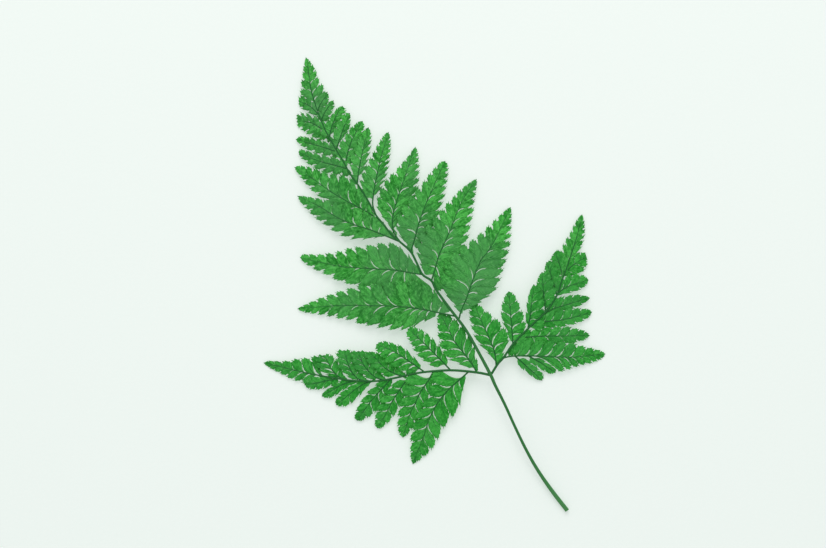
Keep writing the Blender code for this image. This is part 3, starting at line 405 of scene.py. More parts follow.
        back=[(-70, -5.2), (-74.2, -8), (-77.6, -10.5), (-81, -11.8)],
        count=(4, 4), bare=(0.08, 0.08), tip=1.0, arch=0.3, twist=0.13, loose=0.5,
    ),
    "left_1_down_7": dict(
        rib=[(-76.5, -2), (-82, -3), (-87, -4.2), (-92.9, -5.2)],
        front=[(-86, -1), (-90.5, -1.4), (-93, -3.4)],
        back=[(-80, -5.6), (-85.2, -7.5), (-90.6, -7.2)],
        count=(3, 4), bare=(0.06, 0.06), tip=1.0, arch=0.3, twist=0.12, loose=0.4,
    ),
    "right_12": dict(
        rib=[(-86.5, 131.5), (-84.5, 136), (-81, 140.3)],
        front=[(-86, 136.5), (-83.2, 139.9)],
        back=[(-82.2, 133.8), (-80.7, 137.8)],
        count=(2, 2), bare=(0.06, 0.06), tip=1.6, arch=0.3, twist=0.2,
    ),
    "right_11": dict(
        rib=[(-84.5, 127), (-82.5, 131.5), (-78.5, 137)],
        front=[(-85, 131.6), (-81.6, 135.6)],
        back=[(-80, 129.2), (-77.8, 134.4)],
        count=(3, 3), bare=(0.06, 0.06), tip=1.7, arch=0.4, twist=0.2,
    ),
    "right_10": dict(
        rib=[(-80.5, 118.3), (-79.5, 123), (-77.5, 128.5), (-74, 134.2)],
        front=[(-83, 123.5), (-80.3, 128), (-76.8, 133)],
        back=[(-76, 124), (-73.2, 128.6), (-72, 132.3)],
        count=(4, 4), bare=(0.06, 0.06), tip=1.8, arch=0.4, twist=0.19,
    ),
    "right_9": dict(
        rib=[(-77, 112.3), (-75.5, 117), (-73.5, 123), (-70.3, 130.6)],
        front=[(-79, 118.5), (-77, 125), (-73, 130.5)],
        back=[(-72.5, 119.5), (-70.5, 122), (-69.8, 127.5)],
        count=(4, 4), bare=(0.06, 0.06), tip=1.8, arch=0.5, twist=0.18,
    ),
    "right_8": dict(
        rib=[(-72.5, 105), (-71, 112), (-68.5, 118.5), (-64, 126.7)],
        front=[(-76, 113.5), (-73.2, 118), (-70.3, 123), (-66.6, 125.9)],
        back=[(-67, 109.5), (-64.5, 115.5), (-63.5, 120.5), (-62.9, 124.4)],
        count=(5, 5), bare=(0.06, 0.06), tip=1.9, arch=0.5, twist=0.17,
    ),
    "right_7": dict(
        rib=[(-66.5, 95.5), (-65.8, 102), (-64.5, 108.5), (-63, 115.5), (-61, 123.5)],
        front=[(-69.2, 100), (-70.4, 105.5), (-68.8, 111.5), (-66, 117.8), (-62.8, 122.4)],
        back=[(-62, 104.5), (-60.4, 109.5), (-59.6, 114.5), (-59.3, 119.5)],
        count=(6, 6), bare=(0.03, 0.08), tip=1.9, arch=0.6, twist=0.16,
    ),
    "right_6": dict(
        rib=[(-57.2, 79.5), (-58.8, 84.5), (-58.5, 89.5), (-57.5, 96), (-56, 103), (-54.5, 109.5),
             (-51, 121.2)],
        front=[(-65, 93.5), (-65.4, 98.8), (-61.6, 105.5), (-58.6, 110.6), (-56, 115.5), (-53.6, 119.4)],
        back=[(-53.8, 94.6), (-52, 98.6), (-51, 103), (-50.2, 107.5), (-49.8, 112.5), (-49.8, 117.5)],
        count=(9, 9), bare=(0.16, 0.18), tip=1.4, arch=0.9, twist=0.15,
    ),
    "right_5": dict(
        rib=[(-45.3, 66.4), (-48.6, 71.5), (-49, 77), (-47.8, 83.5), (-45.5, 91), (-43, 98), (-40.5, 105.5),
             (-37.5, 113.7)],
        front=[(-51.3, 75.6), (-55.8, 80.2), (-57.8, 86), (-55.6, 91.4), (-52.6, 97.6), (-48.6, 100.2),
               (-45.3, 104.2), (-40.6, 109.2), (-39.2, 112.2)],
        back=[(-43.5, 79.5), (-39, 84.5), (-36.6, 89.5), (-36, 95), (-35.6, 101), (-35.7, 107),
              (-36.2, 111)],
        count=(11, 10), bare=(0.05, 0.12), tip=1.3, arch=1.0, twist=0.14,
    ),
    "right_4": dict(
        rib=[(-39.9, 61.4), (-38, 67.5), (-36, 75), (-33, 83.5), (-30, 90.5), (-26.5, 98.5),
             (-22.7, 106.7)],
        front=[(-42.6, 65), (-46.6, 70.5), (-48.2, 75), (-46.8, 79.6), (-43.2, 84.5), (-39, 89.8),
               (-34.4, 95.1), (-29.8, 100.9), (-25.2, 106)],
        back=[(-33, 65.8), (-28.6, 71), (-26.1, 77), (-24.6, 84), (-22.5, 90.7), (-21.6, 97),
              (-20.8, 103.5)],
        count=(11, 11), bare=(0.06, 0.12), tip=1.2, arch=1.2, twist=0.13,
    ),
    "right_3": dict(
        rib=[(-29.5, 47), (-28, 52), (-26, 59), (-23, 66), (-20, 72.5), (-17, 80.5), (-13.5, 88),
             (-7, 97.7)],
        front=[(-35.5, 56.5), (-37.4, 62), (-36.8, 67.2), (-33, 72.8), (-28.4, 78), (-23, 83.7),
               (-19.5, 87.7), (-15, 92.4), (-10, 96.2)],
        back=[(-21.5, 45.5), (-17, 51.5), (-14, 58.5), (-12.3, 65), (-10.5, 71.5), (-9.8, 76.5), (-8.5, 82),
              (-8, 87.5), (-6.8, 94)],
        count=(12, 12), bare=(0.05, 0.1), tip=1.1, arch=1.4, twist=0.12,
    ),
    "right_2": dict(
        rib=[(-15.8, 28), (-14.8, 32), (-12, 38.5), (-8.5, 48.5), (-5, 57), (-1, 62), (2.5, 68),
             (5.5, 74.5), (10, 83.7)],
        front=[(-18.8, 35.2), (-23.2, 41), (-26, 47.5), (-24.5, 54), (-20, 59.5), (-15.5, 63.5),
               (-12, 65.5), (-6.5, 68.8), (-1, 74.4), (5, 79.9), (8, 82.6)],
        back=[(-8.5, 34.2), (-1, 38.2), (3.2, 42.6), (5.4, 49), (7, 55), (9.2, 61.6), (10.2, 68),
              (10.3, 74.5), (10.6, 80.5)],
        count=(13, 13), bare=(0.1, 0.1), tip=1.0, arch=1.3, twist=0.11,
    ),
    "right_1": dict(
        rib=[(0.4, 0.6), (3.5, 5.5), (6.5, 8.8), (11, 15.3), (18.5, 23), (27.5, 31.5), (33, 39.5),
             (35.5, 47), (38.5, 55), (41, 62.5), (43.3, 70), (45.8, 80)],
        front=[(35, 62.5), (36.8, 66.2), (39, 69.3), (40.5, 72.3), (42.5, 76.7), (44.4, 79)],
        back=[(44.5, 61.5), (46.4, 66), (47.3, 71), (46.9, 77)],
        count=(7, 7), bare=(0.62, 0.64), tip=0.9, arch=1.0, twist=0.1, stem=(0.62, 0.38, 0.72),
    ),
    "right_1_up_1": dict(
        rib=[(2.7, 4.6), (2, 11), (0.0, 16.5), (-2.2, 21.5), (-5.2, 28), (-8.5, 35.7)],
        front=[(6.4, 11.4), (9.4, 18.3), (6, 23.8), (2.2, 27.7), (-2.5, 31.8), (-6, 34.9)],
        back=[(-2.2, 11.8), (-6.2, 16), (-8.7, 21.5), (-10.3, 27.5), (-10.6, 32.5)],
        count=(6, 6), bare=(0.2, 0.2), tip=4.6, arch=0.6, twist=0.05,
    ),
    "right_1_up_2": dict(
        rib=[(11, 15.2), (10.8, 19.5), (10.3, 25.5), (9.8, 31), (9, 41.6)],
        front=[(17, 21.5), (17.8, 25.6), (15.8, 30), (14.2, 34), (12.6, 37.6), (11.2, 40.6)],
        back=[(8.3, 21.5), (5.9, 26.5), (5.4, 31), (5.7, 35.5), (7.4, 39.8)],
        count=(5, 5), bare=(0.2, 0.22), tip=4.2, arch=0.6, twist=0.06,
    ),
    "right_1_up_3": dict(
        rib=[(18.5, 23), (19.5, 28.5), (20.3, 35.5), (21.5, 45.2)],
        front=[(26, 28), (26.5, 35), (25.2, 42)],
        back=[(17.7, 31.5), (18.3, 38), (20.2, 43.3)],
        count=(4, 4), bare=(0.16, 0.18), tip=4.9, arch=0.4, twist=0.12, loose=0.5,
    ),
    "right_1_up_4": dict(
        rib=[(27.5, 31.5), (26.6, 38), (26, 44.5), (25.5, 51.2)],
        front=[(32.5, 40), (31.6, 46.5), (28.6, 50.8)],
        back=[(22.5, 40.5), (22.6, 44.5), (23.8, 48.6)],
        count=(4, 4), bare=(0.16, 0.18), tip=4.0, arch=0.4, twist=0.14, loose=0.3,
    ),
    "right_1_up_5": dict(
        rib=[(33, 39.5), (31.2, 46), (29.5, 51.5), (27.8, 56.2)],
        front=[(34.4, 47.5), (33.2, 53), (30.4, 57)],
        back=[(27.4, 46), (26.4, 50.5), (27.2, 54.4)],
        count=(4, 4), bare=(0.18, 0.2), tip=3.6, arch=0.3, twist=0.14, loose=0.3,
    ),
    "right_1_up_6": dict(
        rib=[(36, 48.4), (34.6, 54.5), (32, 61.2)],
        front=[(37.4, 55.5), (36, 60), (33.4, 62.4)],
        back=[(30.6, 53.5), (29.6, 57), (30.8, 59.8)],
        count=(3, 3), bare=(0.2, 0.2), tip=3.0, arch=0.3, twist=0.14, loose=0.3,
    ),
    "right_1_side_1": dict(
        rib=[(6.2, 8.4), (10.5, 9.3), (20, 9.5), (30, 9), (40, 8.8), (49, 9.5), (57.4, 10.3)],
        front=[(21.5, 16.8), (30.5, 16.4), (37, 16.2), (41.5, 15.4), (45.5, 13.9), (51, 12.8), (55, 12)],
        back=[(37.5, 2.6), (42.5, 4.2), (46.5, 5.2), (52, 6.2), (55.6, 7.8)],
        count=(8, 7), bare=(0.26, 0.44), tip=0.31, arch=0.8, twist=0.1,
    ),
    "right_1_side_1a": dict(
        rib=[(12, 9.4), (17.5, 4.6), (25.8, -3)],
        front=[(20.6, 5.4), (23.8, 2.7), (26.6, -0.2)],
        back=[(16.9, 2.2), (20.3, -0.6), (23.7, -2.7)],
        count=(3, 3), bare=(0.2, 0.22), tip=0.9, arch=0.4, twist=0.1,
    ),
    "right_1_side_1b": dict(
        rib=[(18.5, 9.5), (25, 6), (32.4, 0.9)],
        front=[(27.5, 6.5), (31, 4), (32.8, 2.2)],
        back=[(23.3, 4), (26.7, 1.7), (30.4, 0.3)],
        count=(3, 3), bare=(0.24, 0.24), tip=1.2, arch=0.3, twist=0.1,
    ),
    "right_1_side_2": dict(
        rib=[(13.5, 18), (20, 19), (27.5, 19.3), (36, 19.3), (43.5, 19.5), (49.6, 19.5)],
        front=[(20.5, 22.3), (28, 23.6), (36, 23.8), (42, 23.2), (47.2, 21.7)],
        back=[(15.6, 11.8), (21, 14.2), (28, 14.9), (35, 15.2), (42.5, 16.3), (47.8, 17.8)],
        count=(7, 6), bare=(0.14, 0.1), tip=1.0, arch=0.5, twist=0.12, loose=0.8,
    ),
    "right_1_side_3": dict(
        rib=[(21.5, 25.8), (29.5, 26.8), (36.5, 27.5), (43.5, 29.2), (50.7, 31.3)],
        front=[(28, 31), (35, 32.3), (41.5, 33), (48, 32.8)],
        back=[(27.5, 23.4), (34, 23.9), (40, 24.8), (45.5, 26.5), (49.5, 29)],
        count=(6, 6), bare=(0.16, 0.16), tip=1.3, arch=0.5, twist=0.13, loose=0.6,
    ),
    "right_1_side_4": dict(
        rib=[(25.2, 29.2), (30, 32.4), (40, 35.6), (49.6, 38.3)],
        front=[(32.5, 37.8), (38, 39.2), (43.5, 39.8), (48, 39.2)],
        back=[(32, 29.6), (38, 31.8), (45, 34.7), (48.6, 37)],
        count=(5, 5), bare=(0.1, 0.1), tip=1.4, arch=0.4, twist=0.14, loose=0.5,
    ),
    "right_1_side_5": dict(
        rib=[(31, 36.6), (34.5, 41.4), (39.5, 44.4), (48.9, 47.3)],
        front=[(36.5, 48.6), (40, 50.4), (44.2, 50.3), (47.8, 48.7)],
        back=[(35.6, 40), (40, 41), (44.6, 42.4), (48, 45)],
        count=(4, 4), bare=(0.08, 0.08), tip=1.4, arch=0.4, twist=0.14, loose=0.5,
    ),
    "right_1_side_6": dict(
        rib=[(35.4, 47), (37.6, 51.2), (41.5, 55), (47.9, 58.8)],
        front=[(39.2, 57), (41.6, 59.4), (45.2, 60.9), (47.4, 60.8)],
        back=[(38.8, 49.4), (43.5, 50), (47.6, 52.4), (48.4, 57)],
        count=(4, 4), bare=(0.06, 0.06), tip=1.3, arch=0.4, twist=0.14, loose=0.5,
    ),
}


def pinna_of(name):
    """The pinna of the rachis that a spray belongs to: left_1 for left_1_up_2."""
    return "_".join(name.split("_")[:2])


def parent_of(name):
    """What a spray grows from: the rachis, its pinna, or the spray that its last letter is added to."""
    if name == pinna_of(name):
        return "rachis"
    return name[:-1] if name[-1].isalpha() else pinna_of(name)


def shares_of(line):
    """The share of the line's length at each of its points."""
    lengths = np.concatenate([[0], np.cumsum(np.linalg.norm(np.diff(line[:, :2], axis=0), axis=1))])
    return lengths / lengths[-1]


def points_at(line, shares):
    known = shares_of(line)
    return np.column_stack([np.interp(shares, known, column) for column in line.T])


def directions_at(line, shares):
    shares = np.atleast_1d(shares)
    ahead = points_at(line, np.minimum(shares + AIM_SHARE, 1))
    along = ahead - points_at(line, np.maximum(shares - AIM_SHARE, 0))
    return along[:, :2] / np.linalg.norm(along[:, :2], axis=1)[:, None]


def rib_line(spray, parent_line):
    """The rib as x, y and height, from low on its parent's side to its tip."""
    flat = smooth_line(spray["rib"])
    share = shares_of(flat)
    gaps = np.linalg.norm(parent_line[:, :2] - np.array(spray["rib"][0]), axis=1)
    base_height = parent_line[gaps.argmin(), 2] - ROOT_DROP
    heights = base_height + (spray["tip"] - base_height) * share + spray["arch"] * 4 * share * (1 - share)
    return np.column_stack([flat, heights])


def rib_radii(spray, shares):
    """The rib's radius along it. A basal pinna's rib is thick as far as its stem goes."""
    fine = RIB_RADII[0] + (RIB_RADII[1] - RIB_RADII[0]) * shares
    if "stem" not in spray:
        return fine
    thick, thin, end = spray["stem"]
    return np.maximum(fine, np.interp(shares, [0, end, 1], [thick, thin, RIB_RADII[1]]))


def joined(parts):
    """Several meshes of points, faces and other lists for each point, as one."""
    points, faces, others = [], [], [[] for _ in parts[0][2:]]
    total = 0
    for part in parts:
        points.append(part[0])
        faces += [[corner + total for corner in face] for face in part[1]]
        for kept, values in zip(others, part[2:]):
            kept.append(values)
        total += len(part[0])
    return [np.vstack(points), faces] + [np.concatenate(kept) for kept in others]


def wiry_piece(name, tubes):
    """One piece of many fine tubes, all of the stalk's skin without the paler tone of its thick parts."""
    points, faces, grain = joined(tubes)
    new_piece(name, points, faces, stalk_skin, grain, {"thick": np.zeros(len(points))})


lines = {"rachis": rachis[:, :3]}
tubes = []
for name, spray in SPRAYS.items():
    line = rib_line(spray, lines[parent_of(name)])
    lines[name] = line
    shares = np.linspace(0, 1, max(8, len(line) // 3))
    tubes.append(axis_tube(np.column_stack([points_at(line, shares), rib_radii(spray, shares)]), RIB_SIDES))
wiry_piece("ribs", tubes)


# The leaflets. Each is a thin leathery blade, dyed through, that narrows to its foot on the rib and sweeps
# out and forward. Its edge towards the stalk is plain, and its edge towards the tip and its blunt end
# are cut into small sharp teeth that lean forward. It is a closed solid, a little domed.
HALF_THICKNESS, EDGE_HALF_THICKNESS = 0.15, 0.07
DOME = 0.14
# half of how far a far edge lies above the near edge, so that each leaflet laps over the next
TILE = 0.30
# a leaflet passes this far under the rib that carries its spray, and climbs by this slope beside it
BELOW_CARRIER, CLIMB = 0.25, 0.4
# random bend and twist along a leaflet, and the height of its waves and their radians for each mm
BOW, TWIST = (-0.12, 0.10), (-0.10, 0.10)
WAVE_HEIGHT, WAVE_TURNS = 0.05, 1.5
# more than 1 crowds the leaflets and their feet towards the rib's end
CROWDING = 1.25
# how near the rib's base a foot may come, as a share of its place in the row, the furthest place of a
# foot, and what is kept of bare on the side sprays
CLOSEST, LAST_FOOT, BARE_SHARE = 0.35, 0.985, 0.3
# the angle between a leaflet and the rib, at the rib's base and past its middle, front and back
LEANS = np.radians([[85, 47], [50, 38]])
OPEN_LEANS = np.radians([[62, 42], [55, 38]])
LEAN_SHARES = (0.1, 0.45)
# how far the leaflets' ends reach past the drawn edge, apart ones and dense ones
PAST_EDGE, PAST_EDGE_DENSE = 0.7, 0.45
# how long the edge between two leaflets follows the rib, and how far and which way it comes in at its end
SWEEP, END_PULL = 0.40, 0.36
END_OUTWARD, END_FORWARD = 0.9, 0.42
# the least length of a leaflet, as a share of its near edge, and where on that edge its blunt end begins
LEAST_REACH, SHOULDER = 0.75, (0.93, 0.99)
# in mm, and as a share of the length. Teeth and veins are of full size on leaflets of FULL_LENGTH.
TOOTH_WIDTH, TOOTH_DEPTH, FIRST_TOOTH = 1.55, 1.0, 0.40
FULL_LENGTH = 8
# the blunt end has fewer and deeper teeth than its width would hold, and bows out by a share of it
END_TEETH_SHARE, END_DEPTH_SHARE, END_BOW = 0.75, 1.1, 0.13
MOST_END_TEETH, MOST_SIDE_TEETH = 4, 6
# the most that a tooth cuts in, of the width at the edge and of the length at the blunt end
MOST_CUT, MOST_END_CUT = 0.36, 0.17
# past this share of the length the near edge is cut too, this much as deep
NEAR_TEETH_FROM, NEAR_DEPTH_SHARE = 0.8, 0.4
# how deep teeth are where the next leaflet lies against them, since deeper ones would show as holes
HIDDEN_DEPTH_SHARE = 0.3
# rows of the plain edge before the first tooth, and where a notch lies between two teeth
PLAIN_ROWS = [0.0, 0.07, 0.15, 0.25, 0.33]
END_NOTCH, SIDE_NOTCH = 0.45, (0.3, 0.45)
# random change of the size of gaps and teeth
UNEVEN = (0.8, 1.2)
# how far teeth lean forward, and how far the plain edge leans back, as shares of a tooth's depth
TOOTH_LEAN, PLAIN_LEAN = 0.35, -0.12
# gaps to the leaflet before, by the share along: between leaflets that stand apart, between dense
# ones by the share of the way to where they shut, and past that place, where one slips under the other
OPEN_GAP = ([0, 0.1, 0.28, 0.45, 0.62, 0.8], [0.05, 0.28, 0.46, 0.38, 0.08, -0.35])
DENSE_GAP = ([0, 0.25, 0.6, 0.9, 1], [0.03, 0.18, 0.28, 0.14, 0])
SHUT_GAP = ([0, 0.06, 0.4], [0, -0.42, -0.6])
# the share of the dense leaflets that lie shut all along, and where the others shut
SHUT_SHARE, SHUT_FROM, SHUT_AT_FOOT = 0.45, (0.36, 0.62), 0.06
DENSE_WIDTHS = (0.8, 1.6)
# gaps on the back side are narrower, leaflets that hold together lap by this much, and no gap takes
# more than this share of the room between two edges
BACK_GAP_SHARE, HELD_LAP, MOST_GAP = 0.6, 0.25, 0.45
# leaflets longer than this hold together less and less over so many mm more, and those near the rib's
# end, by the place of their foot, hold together again
HELD_LENGTH, LOOSENING = 2.5, 5
END_LOOSE = ([0.55, 0.9], [1, 0.15])
# the free end of a leaflet: its length, the most of the leaflet that it takes, and how far it stands off
# the one before as a share of the width, on leaflets apart and on dense ones
FREE_LENGTH = (1.3, 3.3)
MOST_FREE, MOST_FREE_DENSE = 0.2, 0.34
OPENING, OPENING_DENSE = (0.10, 0.2), (0.16, 0.3)
# the gap turns into the free end over this share before and after it
PARTING = 0.08
# the middle vein's place across a leaflet, by the share along it
VEIN_PLACE = ([0, 0.12, 0.5, 1], [0.06, 0.16, 0.30, 0.42])
# the middle vein's radius at its foot and how much it loses to its end, on leaflets apart and dense ones
OPEN_VEIN, DENSE_VEIN = (0.24, 0.08), (0.195, 0.05)
VEIN_SIDES, VEIN_END, VEIN_POINTS = 5, 0.9, 9
RIB_POINTS = 240
draw = np.random.default_rng(7)
# a draw of its own for the gaps of the dense leaflets
gap_draw = np.random.default_rng(26)


def unit(vectors):
    return vectors / np.maximum(np.linalg.norm(vectors, axis=-1, keepdims=True), 1e-9)


def curve_between(start, end, first_pull, last_pull, steps=33):
    """A cubic curve from start to end, pulled along two vectors."""
    t = np.linspace(0, 1, steps)[:, None]
    return (
        start * (1 - t) ** 3
        + 3 * (start + first_pull) * (1 - t) ** 2 * t
        + 3 * (end - last_pull) * (1 - t) * t**2
        + end * t**3
    )


def along_curve(curve, shares):
    known = np.linspace(0, 1, len(curve))
    return np.column_stack([np.interp(shares, known, column) for column in curve.T])


def outward_edge(line, share, sign, tip):
    """The line from the rib to a leaflet's tip that parts two leaflets. It leaves along the rib."""
    foot = points_at(line, [share])[0, :2]
    forward = directions_at(line, share)[0]
    outward = np.array([-forward[1], forward[0]]) * sign
    reach = np.linalg.norm(tip - foot)
    lead = np.clip(np.dot(tip - foot, forward) / max(reach, 1e-6) * 2, 0, 1)
    end_way = outward * END_OUTWARD + forward * END_FORWARD
    end_way /= np.linalg.norm(end_way)
    return curve_between(foot, tip, forward * reach * SWEEP * lead, end_way * reach * END_PULL)


def nearest_on(rib, places):
    """The share of the rib nearest to each place, and how far the place is from it."""
    gaps = np.linalg.norm(rib[None, :, :2] - places.reshape(-1, 2)[:, None, :], axis=2)
    shares = gaps.argmin(axis=1) / (len(rib) - 1)
    return shares.reshape(places.shape[:-1]), gaps.min(axis=1).reshape(places.shape[:-1])


def height_on(rib, shares):
    return np.interp(shares, np.linspace(0, 1, len(rib)), rib[:, 2])


def tooth_places(reach, width):
    """Shares across and along a leaflet at its teeth and notches, and which of those along are notches."""
    end_teeth = int(np.clip(round(END_TEETH_SHARE * width / TOOTH_WIDTH), 1, MOST_END_TEETH))
    side_teeth = int(np.clip(round((1 - FIRST_TOOTH) * reach / TOOTH_WIDTH), 1, MOST_SIDE_TEETH))
    across = [0.0]
    for tooth in range(end_teeth):
        across += [(tooth + END_NOTCH) / end_teeth, (tooth + 1) / end_teeth]
    along = PLAIN_ROWS + [FIRST_TOOTH]
    is_notch = [False] * len(along)
    step = (1 - FIRST_TOOTH) / side_teeth
    for tooth in range(side_teeth):
        notch = tooth + draw.uniform(*SIDE_NOTCH)
        along += [FIRST_TOOTH + step * notch, FIRST_TOOTH + step * (tooth + 1)]
        is_notch += [True, False]
    return np.array(across), np.array(along), np.array(is_notch)


def gap_before(along, reach, width, side, loose, opened):
    """The gap to the leaflet before, less than 0 where this one slips under it, and the share along from
    which the leaflet's end is free."""
    if opened:
        gap = np.interp(along, *OPEN_GAP)
    else:
        wide = 0 if gap_draw.uniform() < SHUT_SHARE else gap_draw.uniform(*DENSE_WIDTHS)
        shut_from = gap_draw.uniform(*SHUT_FROM) if wide else SHUT_AT_FOOT
        gap = wide * np.interp(along / shut_from, *DENSE_GAP)
        gap = gap + np.interp(along - shut_from, *SHUT_GAP)
    gap = gap * loose * draw.uniform(*UNEVEN) * (BACK_GAP_SHARE if opened and side == BACK else 1)
    gap = gap - HELD_LAP * (1 - loose) * np.interp(along, [0.05, 0.35], [0, 1])
    free_length = draw.uniform(*FREE_LENGTH) * (0.6 + 0.4 * loose)
    parted = 1 - min(MOST_FREE if opened else MOST_FREE_DENSE, free_length / max(reach, 5))
    gap = gap * np.clip((parted + PARTING - along) / (2 * PARTING), 0, 1)
    opening = draw.uniform(*(OPENING if opened else OPENING_DENSE))
    return gap + np.clip((along - parted) / (1 - parted), 0, 1) * width * opening, parted


def toothed_plan(near, far, across, along, is_notch, end_notch, parted, reach):
    """The leaflet's plan as rows from its near to its far edge, with its teeth cut, and each row's width."""
    span = far - near
    room = np.maximum(np.linalg.norm(span, axis=1), 1e-6)
    inward = span / room[:, None]
    far_way = unit(np.gradient(far, axis=0))
    depth = np.minimum(TOOTH_DEPTH, MOST_CUT * room) * np.clip(reach / FULL_LENGTH, 0.4, 1)
    bared = np.interp(along, [parted - PARTING, parted + 0.06], [HIDDEN_DEPTH_SHARE, 1])
    cut = np.where(is_notch, depth * bared * draw.uniform(*UNEVEN, len(along)), 0)
    point = np.where(is_notch | (along < FIRST_TOOTH), PLAIN_LEAN, TOOTH_LEAN) * depth
    point[along <= FIRST_TOOTH] = point[-1] = 0
    near_cut = np.where(is_notch & (along > NEAR_TEETH_FROM), NEAR_DEPTH_SHARE * depth, 0)
    bend = across[None, :] ** 2
    grid = near[:, None, :] * (1 - across)[None, :, None] + far[:, None, :] * across[None, :, None]
    grid -= inward[:, None, :] * (cut[:, None] * bend)[:, :, None]
    grid += inward[:, None, :] * (near_cut[:, None] * (1 - across[None, :]) ** 3)[:, :, None]
    grid += far_way[:, None, :] * (point[:, None] * bend)[:, :, None]
    # the blunt end, bowed out and cut into teeth
    outward = unit(far[-1] - (near[0] + far[0]) / 2)
    crown = 4 * across * (1 - across)
    push = END_BOW * room[-1] * crown[None, :] * along[:, None] ** 4
    end_depth = min(TOOTH_DEPTH * END_DEPTH_SHARE, MOST_END_CUT * reach)
    end_depth = end_depth * draw.uniform(*UNEVEN, len(across))
    push = push - np.where(end_notch, end_depth, 0)[None, :] * along[:, None] ** 6
    grid += outward * push[:, :, None]
    return grid, room


def leaflet_heights(grid, room, across, along, from_vein, rib, carrier, slope, reach, loose):
    """Heights on the plain solid's plane of this side, domed, and tiled over the next leaflet."""
    share, away = nearest_on(rib, grid)
    heights = height_on(rib, share) + slope * away
    body = np.sin(math.pi * np.clip(along, 0, 1) ** 0.8)
    heights = heights + DOME * (0.35 - from_vein**2) * (body * np.clip(room, 0, 2))[:, None]
    tile = TILE * loose * np.interp(along, [0.2, 0.5, 1], [0, 1, 1])
    heights = heights + (across - 0.5)[None, :] * 2 * tile[:, None]
    bow, twist = draw.uniform(*BOW), draw.uniform(*TWIST)
    wave = WAVE_HEIGHT * np.sin(WAVE_TURNS * along * reach + draw.uniform(0, 6))
    heights = heights + (bow * along**2 + wave * along)[:, None] + twist * (along[:, None] * from_vein)
    # no leaflet lies over the rib that carries its spray
    share, aside = nearest_on(carrier, grid)
    return np.minimum(heights, height_on(carrier, share) - BELOW_CARRIER + CLIMB * aside)


def closed_blade(grid, heights, facing_up):
    """Points and faces of the blade, thinner towards its edge: its top, its underside and its rim."""
    rows, columns = heights.shape
    half = np.full((rows, columns), HALF_THICKNESS)
    half[:, 0] = half[:, -1] = half[-1, :] = EDGE_HALF_THICKNESS
    top = np.dstack([grid, heights + half]).reshape(-1, 3)
    under = np.dstack([grid, heights - half]).reshape(-1, 3)
    count = rows * columns
    index = np.arange(count).reshape(rows, columns)
    quads = np.stack([index[:-1, :-1], index[:-1, 1:], index[1:, 1:], index[1:, :-1]], axis=-1).reshape(-1, 4)
    rim = np.concatenate([index[0, :-1], index[:-1, -1], index[-1, :0:-1], index[:0:-1, 0]])
    around = np.roll(rim, -1)
    wall = np.stack([around, rim, rim + count, around + count], axis=-1)
    faces = np.vstack([quads, quads[:, ::-1] + count, wall])
    if not facing_up:
        faces = faces[:, ::-1]
    return np.vstack([top, under]), faces.tolist()


